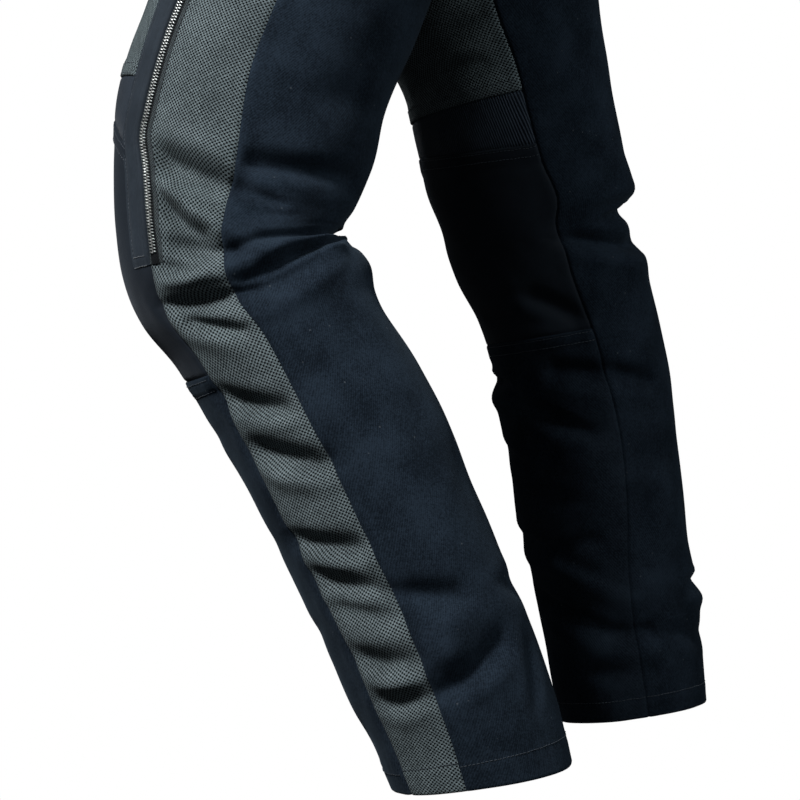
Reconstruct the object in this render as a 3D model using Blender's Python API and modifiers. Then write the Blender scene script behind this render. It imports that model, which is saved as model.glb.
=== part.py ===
"""Motorcycle trousers, worn form: near leg stepping forward with the knee bent, far leg trailing.

Metres, +Z up. The front faces -Y and the left leg is at +X. The origin is
the middle of the waist opening, at the top edge of the waistband.

Every panel is cut from one leg surface, read by two coordinates:
  round  degrees round the leg: 0 inner side, 90 front, 180 outer side, 270 back
  down   millimetres down the leg's middle line from the top of the waistband
"""

import math
from collections import namedtuple

import bmesh
import bpy
import numpy as np
from mathutils import Matrix, Vector

MM = 0.001

# ---------------------------------------------------------------- sizes, mm
WALL = 1.5            # cloth thickness
SEAM_GAP = 0.3        # between two panels at a seam
LAY_GAP = 0.3         # between a panel and what lies on it
SQUARENESS = 2.2      # superellipse power of a section, 2 is an ellipse

WAISTBAND = 40.0      # height of the waistband
FACING_THICK = 1.0
TAPE_THICK = 0.8
CHAIN_THICK = 1.0     # closed zip chain above its tape
FLAP_GAP = 0.8        # the fly flap stands a little off the panel
FLAP_THICK = 1.2
TAB_THICK = 1.5

BUTTON_RADIUS = 8.0
BUTTON_THICK = 2.6

SLIDER_LENGTH = 10.0
SLIDER_WIDTH = 7.6
SLIDER_THICK = 2.6
BRIDGE_LENGTH = 7.0
BRIDGE_WIDTH = 2.0
BRIDGE_INSIDE = 2.4   # clear height under the bridge
BRIDGE_WALL = 1.0
PULL_LENGTH = 26.0
PULL_WIDTH = 7.0
PULL_THICK = 1.2
PULL_BAR = 1.2        # bar of the pull that runs under the bridge
PULL_WINDOW = 5.4     # length of the window in front of the bar
PULL_RAIL = 1.3
PULL_DROOP = 3.0      # degrees that the hanging pull leans to the cloth

# ------------------------------------------------- the sections of each leg
# mid_y, mid_z   middle of the section in the side view, mm
# depth          front to back across the section, mm
# tilt           degrees that the back of the section stands above its front
# reach          outermost point, from the middle plane (X = 0), mm
# width          full width of the section, mm. Above the crotch it passes the
#                middle plane and is cut off there: those cuts are the rise seams
Section = namedtuple("Section", "name mid_y mid_z depth tilt reach width")

HIPS = (
    Section("waist", 0, 0, 224, 0, 150, 300),
    Section("upper_hip", 2, -60, 240, 0, 163, 324),
    Section("hip", 6, -130, 258, 0, 176, 340),
)

LEG = {
    "l": HIPS + (
        Section("rise_high", 4, -165, 262, 0, 180, 290),
        Section("rise_mid", -6, -200, 256, 0, 182, 243),
        Section("rise_low", -18, -238, 232, 0, 181, 205),
        Section("crotch", -28, -270, 210, 0, 180, 180),
        Section("thigh_top", -42, -322, 204, -6, 181, 176),
        Section("thigh_high", -62, -385, 199, -11, 185, 171),
        Section("thigh_mid", -86, -447, 195, -14, 190, 166),
        Section("thigh_low", -105, -498, 192, -14, 195, 161),
        Section("above_knee", -114, -541, 191, -14, 200, 157),
        Section("knee_top", -120, -570, 179, -14, 204, 154),
        Section("knee_high", -124, -591, 167, -9, 206, 150),
        Section("knee", -123, -608, 163, 0, 211, 149),
        Section("knee_low", -117, -628, 167, 9, 215, 148),
        Section("knee_base", -103, -655, 169, 15, 219, 147),
        Section("shin_top", -89, -679, 154, 21, 222, 143),
        Section("shin_high", -79, -697, 149, 27, 224, 139),
        Section("calf", -54, -739, 150, 27, 231, 138),
        Section("shin_mid", -31, -782, 148, 27, 238, 137),
        Section("shin_low", -11, -825, 143, 27, 244, 135),
        Section("ankle_high", 9, -867, 141, 27, 250, 133),
        Section("ankle", 26, -909, 138, 26, 255, 130),
        Section("cuff", 43, -951, 133, 16, 257, 127),
        Section("hem", 57, -993, 127, 8, 260, 123),
    ),
    "r": HIPS + (
        Section("rise_high", 11, -165, 262, 0, 180, 290),
        Section("rise_mid", 21, -200, 256, 0, 182, 243),
        Section("rise_low", 30, -238, 232, 0, 181, 205),
        Section("crotch", 36, -270, 210, 0, 180, 180),
        Section("thigh_top", 47, -322, 203, 6, 183, 177),
        Section("thigh_high", 63, -385, 194, 11, 190, 172),
        Section("thigh_mid", 76, -430, 181, 13, 196, 166),
        Section("thigh_low", 87, -460, 171, 13, 202, 160),
        Section("above_knee", 96, -500, 168, 14, 209, 157),
        Section("knee_top", 105, -540, 168, 13, 216, 154),
        Section("knee_high", 115, -573, 163, 13, 221, 151),
        Section("knee", 114, -590, 152, 13, 223, 147),
        Section("knee_low", 124, -612, 155, 12, 227, 147),
        Section("knee_base", 139, -650, 149, 11, 231, 144),
        Section("shin_high", 149, -686, 145, 11, 235, 141),
        Section("calf", 154, -717, 149, 11, 240, 140),
        Section("shin_mid", 164, -768, 144, 11, 247, 137),
        Section("shin_low", 172, -819, 143, 11, 255, 135),
        Section("ankle_high", 180, -863, 138, 11, 262, 132),
        Section("ankle", 186, -897, 137, 11, 268, 130),
        Section("cuff", 194, -947, 133, 9, 274, 126),
        Section("hem", 202, -1000, 129, 8, 279, 122),
    ),
}

SIDE = {"l": 1.0, "r": -1.0}      # the sign of X on each leg

# ------------------------------------------------ seams that run down the leg
# degrees round the leg of each seam at a height, mm down. The mesh edge is the
# zip line; it buckles where the knee panel's top seam pulls on it
SeamRow = namedtuple("SeamRow", "down inseam mesh_edge outseam")
SEAMS = {
    "l": (
        SeamRow(0, 0, 147, 182),
        SeamRow(150, 0, 144, 181),
        SeamRow(270, 0, 141, 180),
        SeamRow(450, -3, 138, 180),
        SeamRow(555, -5, 136, 181),
        SeamRow(577, -6, 134, 182),
        SeamRow(602, -8, 139, 182),
        SeamRow(636, -8, 139.5, 178),
        SeamRow(666, -8, 134, 174),
        SeamRow(712, -10, 133, 176),
        SeamRow(770, -13, 131, 174),
        SeamRow(850, -13, 128, 173),
        SeamRow(945, -10, 131, 173),
        SeamRow(1049, -8, 131, 171),
    ),
    "r": (
        SeamRow(0, 0, 147, 182),
        SeamRow(150, 0, 144, 181),
        SeamRow(270, 0, 141, 180),
        SeamRow(460, -2, 137, 180),
        SeamRow(545, -5, 136, 180),
        SeamRow(602, -8, 139, 180),
        SeamRow(650, -5, 136, 177),
        SeamRow(710, -9, 133, 176),
        SeamRow(765, -13, 130, 174),
        SeamRow(836, -12, 129, 173),
        SeamRow(896, -6, 130, 173),
        SeamRow(1021, -6, 131, 171),
    ),
}

# ------------------------------------------------- lines that run round the leg
# mm down at the inseam, the front and the mesh edge, and the mesh rows under it
RoundLine = namedtuple("RoundLine", "name inseam front side rows")
LINES = {
    "l": (
        RoundLine("waist_seam", 40, 40, 40, 3),
        RoundLine("hip_line", 150, 150, 150, 3),
        RoundLine("rise_line", 238, 238, 238, 2),
        RoundLine("crotch_line", 270, 270, 270, 7),
        RoundLine("yoke_seam", 532, 532, 532, 2),
        RoundLine("knee_top_seam", 585, 562, 590, 9),
        RoundLine("knee_base_seam", 712, 711, 714, 14),
        RoundLine("hem_line", 1048, 1048, 1048, 0),
    ),
    "r": (
        RoundLine("waist_seam", 40, 40, 40, 3),
        RoundLine("hip_line", 150, 150, 150, 3),
        RoundLine("rise_line", 238, 238, 238, 2),
        RoundLine("crotch_line", 270, 270, 270, 7),
        RoundLine("yoke_seam", 491, 488, 488, 2),
        RoundLine("knee_top_seam", 534, 517, 528, 9),
        RoundLine("knee_base_seam", 690, 686, 697, 14),
        RoundLine("hem_line", 1020, 1020, 1020, 0),
    ),
}

# columns as shares of the width of the front, the side mesh and the back
FRONT_COLUMNS = (0, 0.19, 0.37, 0.53, 0.67, 0.79, 0.90, 1.0)   # the last is the zip facing
MESH_COLUMNS = (0, 0.22, 0.48, 0.74, 1.0)                       # the first is the zip tape
BACK_COLUMNS = (0, 0.11, 0.22, 0.33, 0.44, 0.55, 0.66, 0.77, 0.885, 1.0)

# ----------------------------------------------------------- the largest folds
# from (round_a, down_a) to (round_b, down_b), half width and depth in mm; a
# minus depth is a trough
Fold = namedtuple("Fold", "leg name round_a down_a round_b down_b half depth")
FOLDS = (
    Fold("l", "mesh_trough", 144, 586, 181, 594, 13, -6),
    Fold("l", "mesh_diagonal", 150, 612, 170, 628, 10, -4),
    Fold("l", "back_trough", 190, 574, 245, 566, 12, -6),
    Fold("l", "hollow_high", 182, 638, 217, 632, 9, -5),
    Fold("l", "hollow_high_back", 217, 632, 268, 621, 9, -7),
    Fold("l", "hollow_low", 178, 662, 211, 650, 9, -5),
    Fold("l", "hollow_low_back", 211, 650, 252, 636, 9, -6),
    Fold("l", "knee_crease", 138, 669, 180, 672, 11, -6),
    Fold("l", "knee_crease_back", 180, 672, 222, 656, 12, -5),
    Fold("l", "knee_crease_low", 146, 684, 168, 698, 9, -3.5),
    Fold("l", "shin_high", 136, 730, 164, 754, 13, -4),
    Fold("l", "shin_mid", 140, 776, 171, 802, 14, -5),
    Fold("l", "shin_low", 129, 842, 166, 862, 14, -5),
    Fold("l", "shin_foot", 134, 872, 168, 896, 13, -4),
    Fold("l", "ankle_dip", 176, 906, 202, 922, 15, -6),
    Fold("l", "ankle_ridge", 192, 938, 186, 954, 13, 5),
    Fold("l", "ankle_valley", 178, 977, 222, 964, 13, -6),
    Fold("l", "inner_hollow_high", 268, 621, 322, 634, 10, -6),
    Fold("l", "inner_hollow_low", 262, 642, 338, 660, 12, -5),
    Fold("l", "inner_thigh", 285, 560, 338, 574, 14, -5),
    Fold("l", "inner_shin", 356, 742, 306, 772, 14, -4),
    Fold("l", "inner_ankle", 20, 930, 325, 946, 16, -5),
    Fold("l", "whisker_high", 20, 292, 112, 232, 16, -4),
    Fold("l", "seat_trough", 335, 300, 262, 322, 18, -5),
    Fold("r", "knee_hollow", 348, 616, 298, 626, 12, -5),
    Fold("r", "knee_hollow_outer", 298, 626, 232, 616, 12, -5),
    Fold("r", "knee_hollow_low", 288, 600, 250, 594, 10, -4),
    Fold("r", "knee_side", 18, 656, 358, 678, 12, -4),
    Fold("r", "calf_fold", 16, 720, 314, 740, 12, -4),
    Fold("r", "shin_diagonal", 58, 736, 2, 773, 14, -4),
    Fold("r", "knee_front_dip", 84, 722, 52, 732, 10, -3),
    Fold("r", "cuff_ridge", 40, 876, 350, 912, 14, 4),
    Fold("r", "cuff_trough", 64, 910, 348, 948, 15, -5),
    Fold("r", "outer_trough", 140, 600, 184, 610, 13, -5),
    Fold("r", "outer_crease", 134, 690, 196, 676, 12, -5),
    Fold("r", "outer_shin_high", 138, 770, 176, 790, 14, -4),
    Fold("r", "outer_shin_low", 132, 860, 180, 880, 14, -5),
    Fold("r", "whisker_high", 18, 288, 108, 236, 16, -3),
    Fold("r", "seat_trough", 342, 296, 268, 312, 18, -5),
)


# =============================================================== leg surface
def spine_downs(sections):
    """Distance down the middle line to each section, mm."""
    downs = [0.0]
    for a, b in zip(sections, sections[1:]):
        step = math.hypot(b.mid_y - a.mid_y, b.mid_z - a.mid_z)
        downs.append(downs[-1] + (abs(b.mid_z - a.mid_z) if b.mid_z >= -270 else step))
    return downs


def smooth_read(at, knots, values):
    """A smooth curve through the values of a table column (cubic Hermite)."""
    knots, values = np.asarray(knots, float), np.asarray(values, float)
    slope = np.gradient(values, knots)
    at = np.asarray(at, float)
    i = np.clip(np.searchsorted(knots, at, side="right") - 1, 0, len(knots) - 2)
    h = knots[i + 1] - knots[i]
    t = (at - knots[i]) / h
    return (
        (2 * t**3 - 3 * t**2 + 1) * values[i]
        + (t**3 - 2 * t**2 + t) * h * slope[i]
        + (3 * t**2 - 2 * t**3) * values[i + 1]
        + (t**3 - t**2) * h * slope[i + 1]
    )


def section_at(leg, down):
    table = LEG[leg]
    knots = spine_downs(table)
    read = lambda column: smooth_read(down, knots, [getattr(s, column) for s in table])
    return {c: read(c) for c in ("mid_y", "mid_z", "depth", "tilt", "reach", "width")}


def hips_mid_y(down):
    """Middle line of the hips at the rise seams, which both legs share."""
    return smooth_read(down, (0, 60, 130, 270), (0, 2, 6, 4))


def cut_angle(section):
    """Degrees at which a section meets the middle plane, X = 0."""
    half = section["width"] / 2
    share = np.clip((section["reach"] - half) / half, 0, 1)
    return np.degrees(np.arccos(share ** (SQUARENESS / 2)))


def fold_depth(leg, rnd, down, section):
    total = np.zeros(np.broadcast(rnd, down).shape)
    per_degree = (section["depth"] + section["width"]) * math.pi / 2 / 360
    for fold in FOLDS:
        if fold.leg != leg:
            continue
        turn = (rnd - fold.round_a + 180) % 360 - 180
        run = (fold.round_b - fold.round_a + 180) % 360 - 180
        ax, ay = turn * per_degree, down - fold.down_a
        bx, by = run * per_degree, fold.down_b - fold.down_a
        share = np.clip((ax * bx + ay * by) / (bx * bx + by * by + 1e-9), 0, 1)
        off = np.hypot(ax - share * bx, ay - share * by)
        total = total + fold.depth * np.exp(-((off / fold.half) ** 2) * 1.4)
    return total


def bare_surface(leg, rnd, down):
    """Points of the leg with no folds, mm."""
    s = section_at(leg, down)
    half = s["width"] / 2
    c, n = np.cos(np.radians(rnd)), np.sin(np.radians(rnd))
    power = 2 / SQUARENESS
    across = half * np.sign(c) * np.abs(c) ** power
    forward = s["depth"] / 2 * np.sign(n) * np.abs(n) ** power
    x = s["reach"] - half - across
    mid_y = s["mid_y"]
    # above the crotch the leg's own lean fades to nothing at the rise seam
    own = np.clip(x / 80, 0, 1)
    own = np.where(down < 270, own * own * (3 - 2 * own), 1.0)
    mid_y = mid_y * own + hips_mid_y(np.minimum(down, 270)) * (1 - own)
    tilt = np.radians(s["tilt"])
    y = mid_y - forward * np.cos(tilt)
    z = s["mid_z"] - forward * np.sin(tilt)
    return np.stack([x * SIDE[leg], y, z + 0 * x], axis=-1), s


def surface_normal(leg, rnd, down, sample):
    turn, drop = 0.4, 1.0
    low = down - drop
    d_round = sample(leg, rnd + turn, down) - sample(leg, rnd - turn, down)
    d_down = sample(leg, rnd, down + drop) - sample(leg, rnd, low)
    normal = np.cross(d_down, d_round) * SIDE[leg]
    return normal / np.linalg.norm(normal, axis=-1, keepdims=True)


def folded_surface(leg, rnd, down):
    """Points of the cloth's outer face, mm, folds and all."""
    plain = lambda g, r, d: bare_surface(g, r, d)[0]
    points, section = bare_surface(leg, rnd, down)
    if FOLDS:
        out = surface_normal(leg, rnd, down, plain)
        points = points + out * fold_depth(leg, rnd, down, section)[..., None]
    return points


# ================================================================= leg grid
def long_seam(leg, seam, down):
    rows = SEAMS[leg]
    return smooth_read(down, [r.down for r in rows], [getattr(r, seam) for r in rows])


def column_rounds(leg, down):
    """Degrees round the leg of every grid column, at one height for each column."""
    section = section_at(leg, down)
    cut = np.where(down < 270, cut_angle(section), 0.0)
    inner = np.where(down < 270, cut, long_seam(leg, "inseam", down))
    edge, out = long_seam(leg, "mesh_edge", down), long_seam(leg, "outseam", down)
    shares = []
    for k in FRONT_COLUMNS:
        shares.append(inner + k * (edge - inner))
    for k in MESH_COLUMNS[1:]:
        shares.append(edge + k * (out - edge))
    end = np.where(down < 270, 360 - cut, 360 + long_seam(leg, "inseam", down))
    for k in BACK_COLUMNS[1:]:
        shares.append(out + k * (end - out))
    return np.stack(shares, axis=-1)


ZIP_COLUMN = len(FRONT_COLUMNS) - 1
OUT_COLUMN = ZIP_COLUMN + len(MESH_COLUMNS) - 1
LAST_COLUMN = OUT_COLUMN + len(BACK_COLUMNS) - 1


def grid_rows(leg):
    """The (inseam, front, side) heights of every grid row, and the row of each line."""
    rows, at = [], {}
    lines = LINES[leg]
    for line, after in zip(lines, lines[1:]):
        at[line.name] = len(rows)
        for k in range(line.rows):
            t = k / line.rows
            rows.append(tuple(a + t * (b - a) for a, b in zip(line[1:4], after[1:4])))
    at[lines[-1].name] = len(rows)
    rows.append(tuple(lines[-1][1:4]))
    return rows, at


def row_down(row, rnd):
    """Height of a row line at each angle: inseam, front, mesh edge, then the back to the inseam."""
    inseam, front, side = row
    return np.interp(rnd, (-16, 0, 90, 135, 345, 360), (inseam, inseam, front, side, inseam, inseam))


def leg_grid(leg, rows):
    """Outer points and normals of the leg, rows by columns, mm."""
    rounds, downs = [], []
    for row in rows:
        down = np.full(LAST_COLUMN + 1, float(np.mean(row)))
        for _ in range(4):
            rnd = np.diagonal(column_rounds(leg, down))
            down = row_down(row, rnd)
        rounds.append(rnd)
        downs.append(down)
    rounds, downs = np.array(rounds), np.array(downs)
    points = folded_surface(leg, rounds, downs)
    normals = surface_normal(leg, rounds, downs, folded_surface)
    side = SIDE[leg]
    points[..., 0] = side * np.maximum(points[..., 0] * side, SEAM_GAP / 2)
    return points, normals


# ============================================================ making objects
def material(name, colour, rough, metal=0.0):
    made = bpy.data.materials.new(name)
    made.use_nodes = True
    shader = made.node_tree.nodes["Principled BSDF"]
    shader.inputs["Base Color"].default_value = (*colour, 1)
    shader.inputs["Roughness"].default_value = rough
    shader.inputs["Metallic"].default_value = metal
    return made


def put(name, mesh, made, collection):
    obj = bpy.data.objects.new(name, mesh)
    mesh.materials.append(made)
    collection.objects.link(obj)
    return obj


def trimmed(points, by):
    """The border of a patch drawn in by a distance along the cloth, mm."""
    out = points.copy()
    for edge, inner in ((0, 1), (-1, -2)):
        step = points[edge] - points[inner]
        out[edge] -= by * step / np.linalg.norm(step, axis=-1, keepdims=True)
    base = out.copy()
    for edge, inner in ((0, 1), (-1, -2)):
        step = base[:, edge] - base[:, inner]
        out[:, edge] -= by * step / np.linalg.norm(step, axis=-1, keepdims=True)
    return out


def loft_wall(name, outer, inner, made, collection):
    """A closed wall lofted between the rows of an outer and an inner face, mm."""
    rows, cols = outer.shape[:2]
    mesh_data = bmesh.new()
    top = [[mesh_data.verts.new(Vector(outer[j, i]) * MM) for i in range(cols)] for j in range(rows)]
    low = [[mesh_data.verts.new(Vector(inner[j, i]) * MM) for i in range(cols)] for j in range(rows)]

    def quad(a, b, c, d):
        mesh_data.faces.new((a, b, c))
        mesh_data.faces.new((a, c, d))

    for j in range(rows - 1):
        for i in range(cols - 1):
            quad(top[j][i], top[j][i + 1], top[j + 1][i + 1], top[j + 1][i])
            quad(low[j][i], low[j + 1][i], low[j + 1][i + 1], low[j][i + 1])
    # the second quad is turned so that both faces share one diagonal
    border = (
        [(0, i) for i in range(cols)]
        + [(j, cols - 1) for j in range(1, rows)]
        + [(rows - 1, i) for i in range(cols - 2, -1, -1)]
        + [(j, 0) for j in range(rows - 2, 0, -1)]
    )
    for ends in zip(border, border[1:] + border[:1]):
        (ja, ia), (jb, ib) = sorted(ends)    # both sides of a seam split alike
        quad(top[ja][ia], low[ja][ia], low[jb][ib], top[jb][ib])
    bmesh.ops.recalc_face_normals(mesh_data, faces=mesh_data.faces)
    mesh = bpy.data.meshes.new(name)
    mesh_data.to_mesh(mesh)
    mesh_data.free()
    return put(name, mesh, made, collection)


def profile_loft(name, rings, made, collection):
    """A closed bar lofted through closed rings of equal count, mm."""
    mesh_data = bmesh.new()
    verts = [[mesh_data.verts.new(Vector(p) * MM) for p in ring] for ring in rings]
    count = len(verts[0])
    for a, b in zip(verts, verts[1:]):
        for k in range(count):
            n = (k + 1) % count
            mesh_data.faces.new((a[k], a[n], b[n]))
            mesh_data.faces.new((a[k], b[n], b[k]))
    mesh_data.faces.new(verts[0])
    mesh_data.faces.new(verts[-1][::-1])
    bmesh.ops.recalc_face_normals(mesh_data, faces=mesh_data.faces)
    mesh = bpy.data.meshes.new(name)
    mesh_data.to_mesh(mesh)
    mesh_data.free()
    return put(name, mesh, made, collection)


def on_grid(points, j, i):
    """A grid point, or one between grid points on the straight facet there."""
    ja, ia = min(int(j), len(points) - 2), min(int(i), points.shape[1] - 2)
    u, v = j - ja, i - ia
    top = points[ja, ia] * (1 - v) + points[ja, ia + 1] * v
    low = points[ja + 1, ia] * (1 - v) + points[ja + 1, ia + 1] * v
    return top * (1 - u) + low * u


def laid_on(points, normals, rows, cols, gap, thick, by=0.0):
    """Outer and inner faces of a strip that lies on a panel, from the panel's own points."""
    base, out = points[rows[0]:rows[1] + 1, cols[0]:cols[1] + 1], normals[rows[0]:rows[1] + 1, cols[0]:cols[1] + 1]
    base = trimmed(base, by) if by else base
    return base + out * (gap + thick), base + out * gap


# ============================================================ small hardware
def local_frame(points, normals, j, i):
    """Origin and axes on the cloth: across the zip, down the leg and out."""
    origin = Vector(on_grid(points, j, i))
    out = Vector(on_grid(normals, j, i)).normalized()
    down = Vector(on_grid(points, j + 0.2, i)) - origin
    down = (down - down.dot(out) * out).normalized()
    across = down.cross(out)
    return origin, across, down, out


def frame_matrix(origin, across, down, out):
    turn = Matrix((across, down, out)).transposed().to_4x4()
    return Matrix.Translation(origin * MM) @ turn


def box(name, size, centre, collection):
    bpy.ops.mesh.primitive_cube_add(size=1)
    obj = bpy.context.object
    obj.name = name
    obj.data.name = name
    obj.data.transform(Matrix.Translation(Vector(centre) * MM) @ Matrix.Diagonal((*[v * MM for v in size], 1)))
    for held in list(obj.users_collection):
        held.objects.unlink(obj)
    collection.objects.link(obj)
    return obj


def make_slider(leg, at, made, collection, cutters):
    """Slider body with a raised bridge, open underneath for the pull's bar."""
    top = SLIDER_THICK
    body = box(f"zip_slider_{leg}", (SLIDER_WIDTH, SLIDER_LENGTH, SLIDER_THICK), (0, 0, top / 2), collection)
    body.data.materials.append(made)
    height = BRIDGE_INSIDE + BRIDGE_WALL
    bridge = box(f"bridge_{leg}", (BRIDGE_WIDTH, BRIDGE_LENGTH, height + 0.5), (0, 0, top + height / 2 - 0.25), cutters)
    eye = box(f"eye_{leg}", (BRIDGE_WIDTH * 2, BRIDGE_LENGTH - 2 * BRIDGE_WALL, BRIDGE_INSIDE), (0, 0, top + 0.05 + BRIDGE_INSIDE / 2), cutters)
    for helper in (bridge, eye):
        helper.hide_render = True
        helper.display_type = "WIRE"
        helper.matrix_world = at
    body.matrix_world = at
    bevel = body.modifiers.new("edges", "BEVEL")
    bevel.width, bevel.segments = 0.7 * MM, 2
    for kind, other in (("UNION", bridge), ("DIFFERENCE", eye)):
        step = body.modifiers.new(kind.lower(), "BOOLEAN")
        step.operation, step.object, step.solver = kind, other, "EXACT"
    return body


def make_pull(leg, at, made, collection):
    """Flat pull tab; its origin is on the hinge line, the middle of its top bar."""
    flat = bpy.data.curves.new(f"zip_pull_{leg}", "CURVE")
    flat.dimensions = "2D"
    flat.fill_mode = "BOTH"
    flat.extrude = PULL_THICK / 2 * MM
    half, bar = PULL_WIDTH / 2, PULL_BAR / 2
    end = PULL_LENGTH - bar
    nose = [(half * 0.8 * math.cos(math.radians(a)), end - half * 0.8 + half * 0.8 * math.sin(math.radians(a))) for a in range(0, 181, 30)]
    outline = [(-half, -bar), (half, -bar), (half, PULL_WINDOW + 2)] + nose + [(-half, PULL_WINDOW + 2)]
    inside = half - PULL_RAIL
    window = [(-inside, bar), (inside, bar), (inside, PULL_WINDOW), (-inside, PULL_WINDOW)]
    for points in (outline, window):
        spline = flat.splines.new("POLY")
        spline.points.add(len(points) - 1)
        for point, (x, y) in zip(spline.points, points):
            point.co = (x * MM, y * MM, 0, 1)
        spline.use_cyclic_u = True
    flat.materials.append(made)
    obj = bpy.data.objects.new(f"zip_pull_{leg}", flat)
    collection.objects.link(obj)
    obj.matrix_world = at
    return obj


def make_button(at, made, collection):
    bpy.ops.mesh.primitive_cylinder_add(vertices=24, radius=BUTTON_RADIUS * MM, depth=BUTTON_THICK * MM)
    obj = bpy.context.object
    obj.name = obj.data.name = "waist_button"
    obj.data.transform(Matrix.Translation((0, 0, BUTTON_THICK / 2 * MM)))
    for held in list(obj.users_collection):
        held.objects.unlink(obj)
    collection.objects.link(obj)
    obj.data.materials.append(made)
    obj.data.shade_smooth()
    obj.data.set_sharp_from_angle(angle=math.radians(35))
    bevel = obj.modifiers.new("rim", "BEVEL")
    bevel.width, bevel.segments = 0.8 * MM, 2
    obj.matrix_world = at
    return obj


# ================================================================ the build
def clear_scene():
    for obj in list(bpy.data.objects):
        bpy.data.objects.remove(obj, do_unlink=True)


def row_at(rows, mm_down, column=2):
    """Fractional grid row at a height on the mesh edge."""
    return float(np.interp(mm_down, [row[column] for row in rows], range(len(rows))))


ZIP_TOP = 150.0       # mm down, top end of the vent zip
SLIDER_AT = 158.0
CHAIN_TOP = 164.5
ZIP_END_ROWS = 4      # rows below the knee panel's top seam


def build_leg(leg, collection, cutters, looks):
    rows, at = grid_rows(leg)
    points, normals = leg_grid(leg, rows)
    side = SIDE[leg]

    def panel(name, top, bottom, first, last, made):
        part = trimmed(points[at[top]:at[bottom] + 1, first:last + 1], SEAM_GAP / 2)
        part[..., 0] = side * np.maximum(part[..., 0] * side, SEAM_GAP / 2)
        out = normals[at[top]:at[bottom] + 1, first:last + 1]
        inner = part - WALL * out
        inner[..., 0] = side * np.maximum(inner[..., 0] * side, SEAM_GAP / 2)
        loft_wall(f"{name}_{leg}", part, inner, looks[made], collection)

    panel("front_thigh", "waist_seam", "yoke_seam", 0, ZIP_COLUMN, "mesh")
    panel("stretch_panel", "yoke_seam", "knee_top_seam", 0, ZIP_COLUMN, "ribbed")
    panel("knee_panel", "knee_top_seam", "knee_base_seam", 0, ZIP_COLUMN, "smooth")
    panel("shin_panel", "knee_base_seam", "hem_line", 0, ZIP_COLUMN, "cloth")
    panel("side_mesh", "waist_seam", "hem_line", ZIP_COLUMN, OUT_COLUMN, "mesh")
    panel("back_panel", "waist_seam", "hem_line", OUT_COLUMN, LAST_COLUMN, "cloth")

    # the facing lies on the front panels, along the zip
    zip_end = at["knee_top_seam"] + ZIP_END_ROWS
    span = (at["hip_line"], zip_end)
    outer, inner = laid_on(points, normals, span, (ZIP_COLUMN - 1, ZIP_COLUMN), LAY_GAP, FACING_THICK, SEAM_GAP)
    loft_wall(f"zip_facing_{leg}", outer, inner, looks["facing"], collection)

    # tape and closed chain: one strip with the chain's raised bead
    start, slider_row, chain_row = (row_at(rows, mm) for mm in (ZIP_TOP, SLIDER_AT, CHAIN_TOP))
    heights = [start + 0.01, chain_row, chain_row + 0.02]
    heights += [j for j in range(int(chain_row) + 1, zip_end)] + [zip_end - 0.2]
    rings = []
    flat = LAY_GAP + TAPE_THICK
    for k, j in enumerate(heights):
        bead = CHAIN_THICK if k > 1 else 0.0
        ring = []
        for share, up in ((0.04, LAY_GAP), (0.98, LAY_GAP), (0.98, flat), (0.55, flat),
                          (0.50, flat + bead + 0.02), (0.14, flat + bead + 0.02), (0.04, flat)):
            i = ZIP_COLUMN + share
            ring.append(on_grid(points, j, i) + on_grid(normals, j, i) * up)
        rings.append(ring)
    profile_loft(f"vent_zip_{leg}", rings, looks["metal"], collection)

    origin, across, down, out = local_frame(points, normals, slider_row, ZIP_COLUMN + 0.33)
    seat = origin + out * (flat + LAY_GAP)
    make_slider(leg, frame_matrix(seat, across, down, out), looks["dark_metal"], collection, cutters)
    hinge = seat + out * (SLIDER_THICK + 0.05 + BRIDGE_INSIDE / 2)
    droop = Matrix.Rotation(math.radians(-PULL_DROOP), 3, across)
    make_pull(leg, frame_matrix(hinge, across, droop @ down, droop @ out), looks["dark_metal"], collection)
    return points, normals, at


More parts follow.
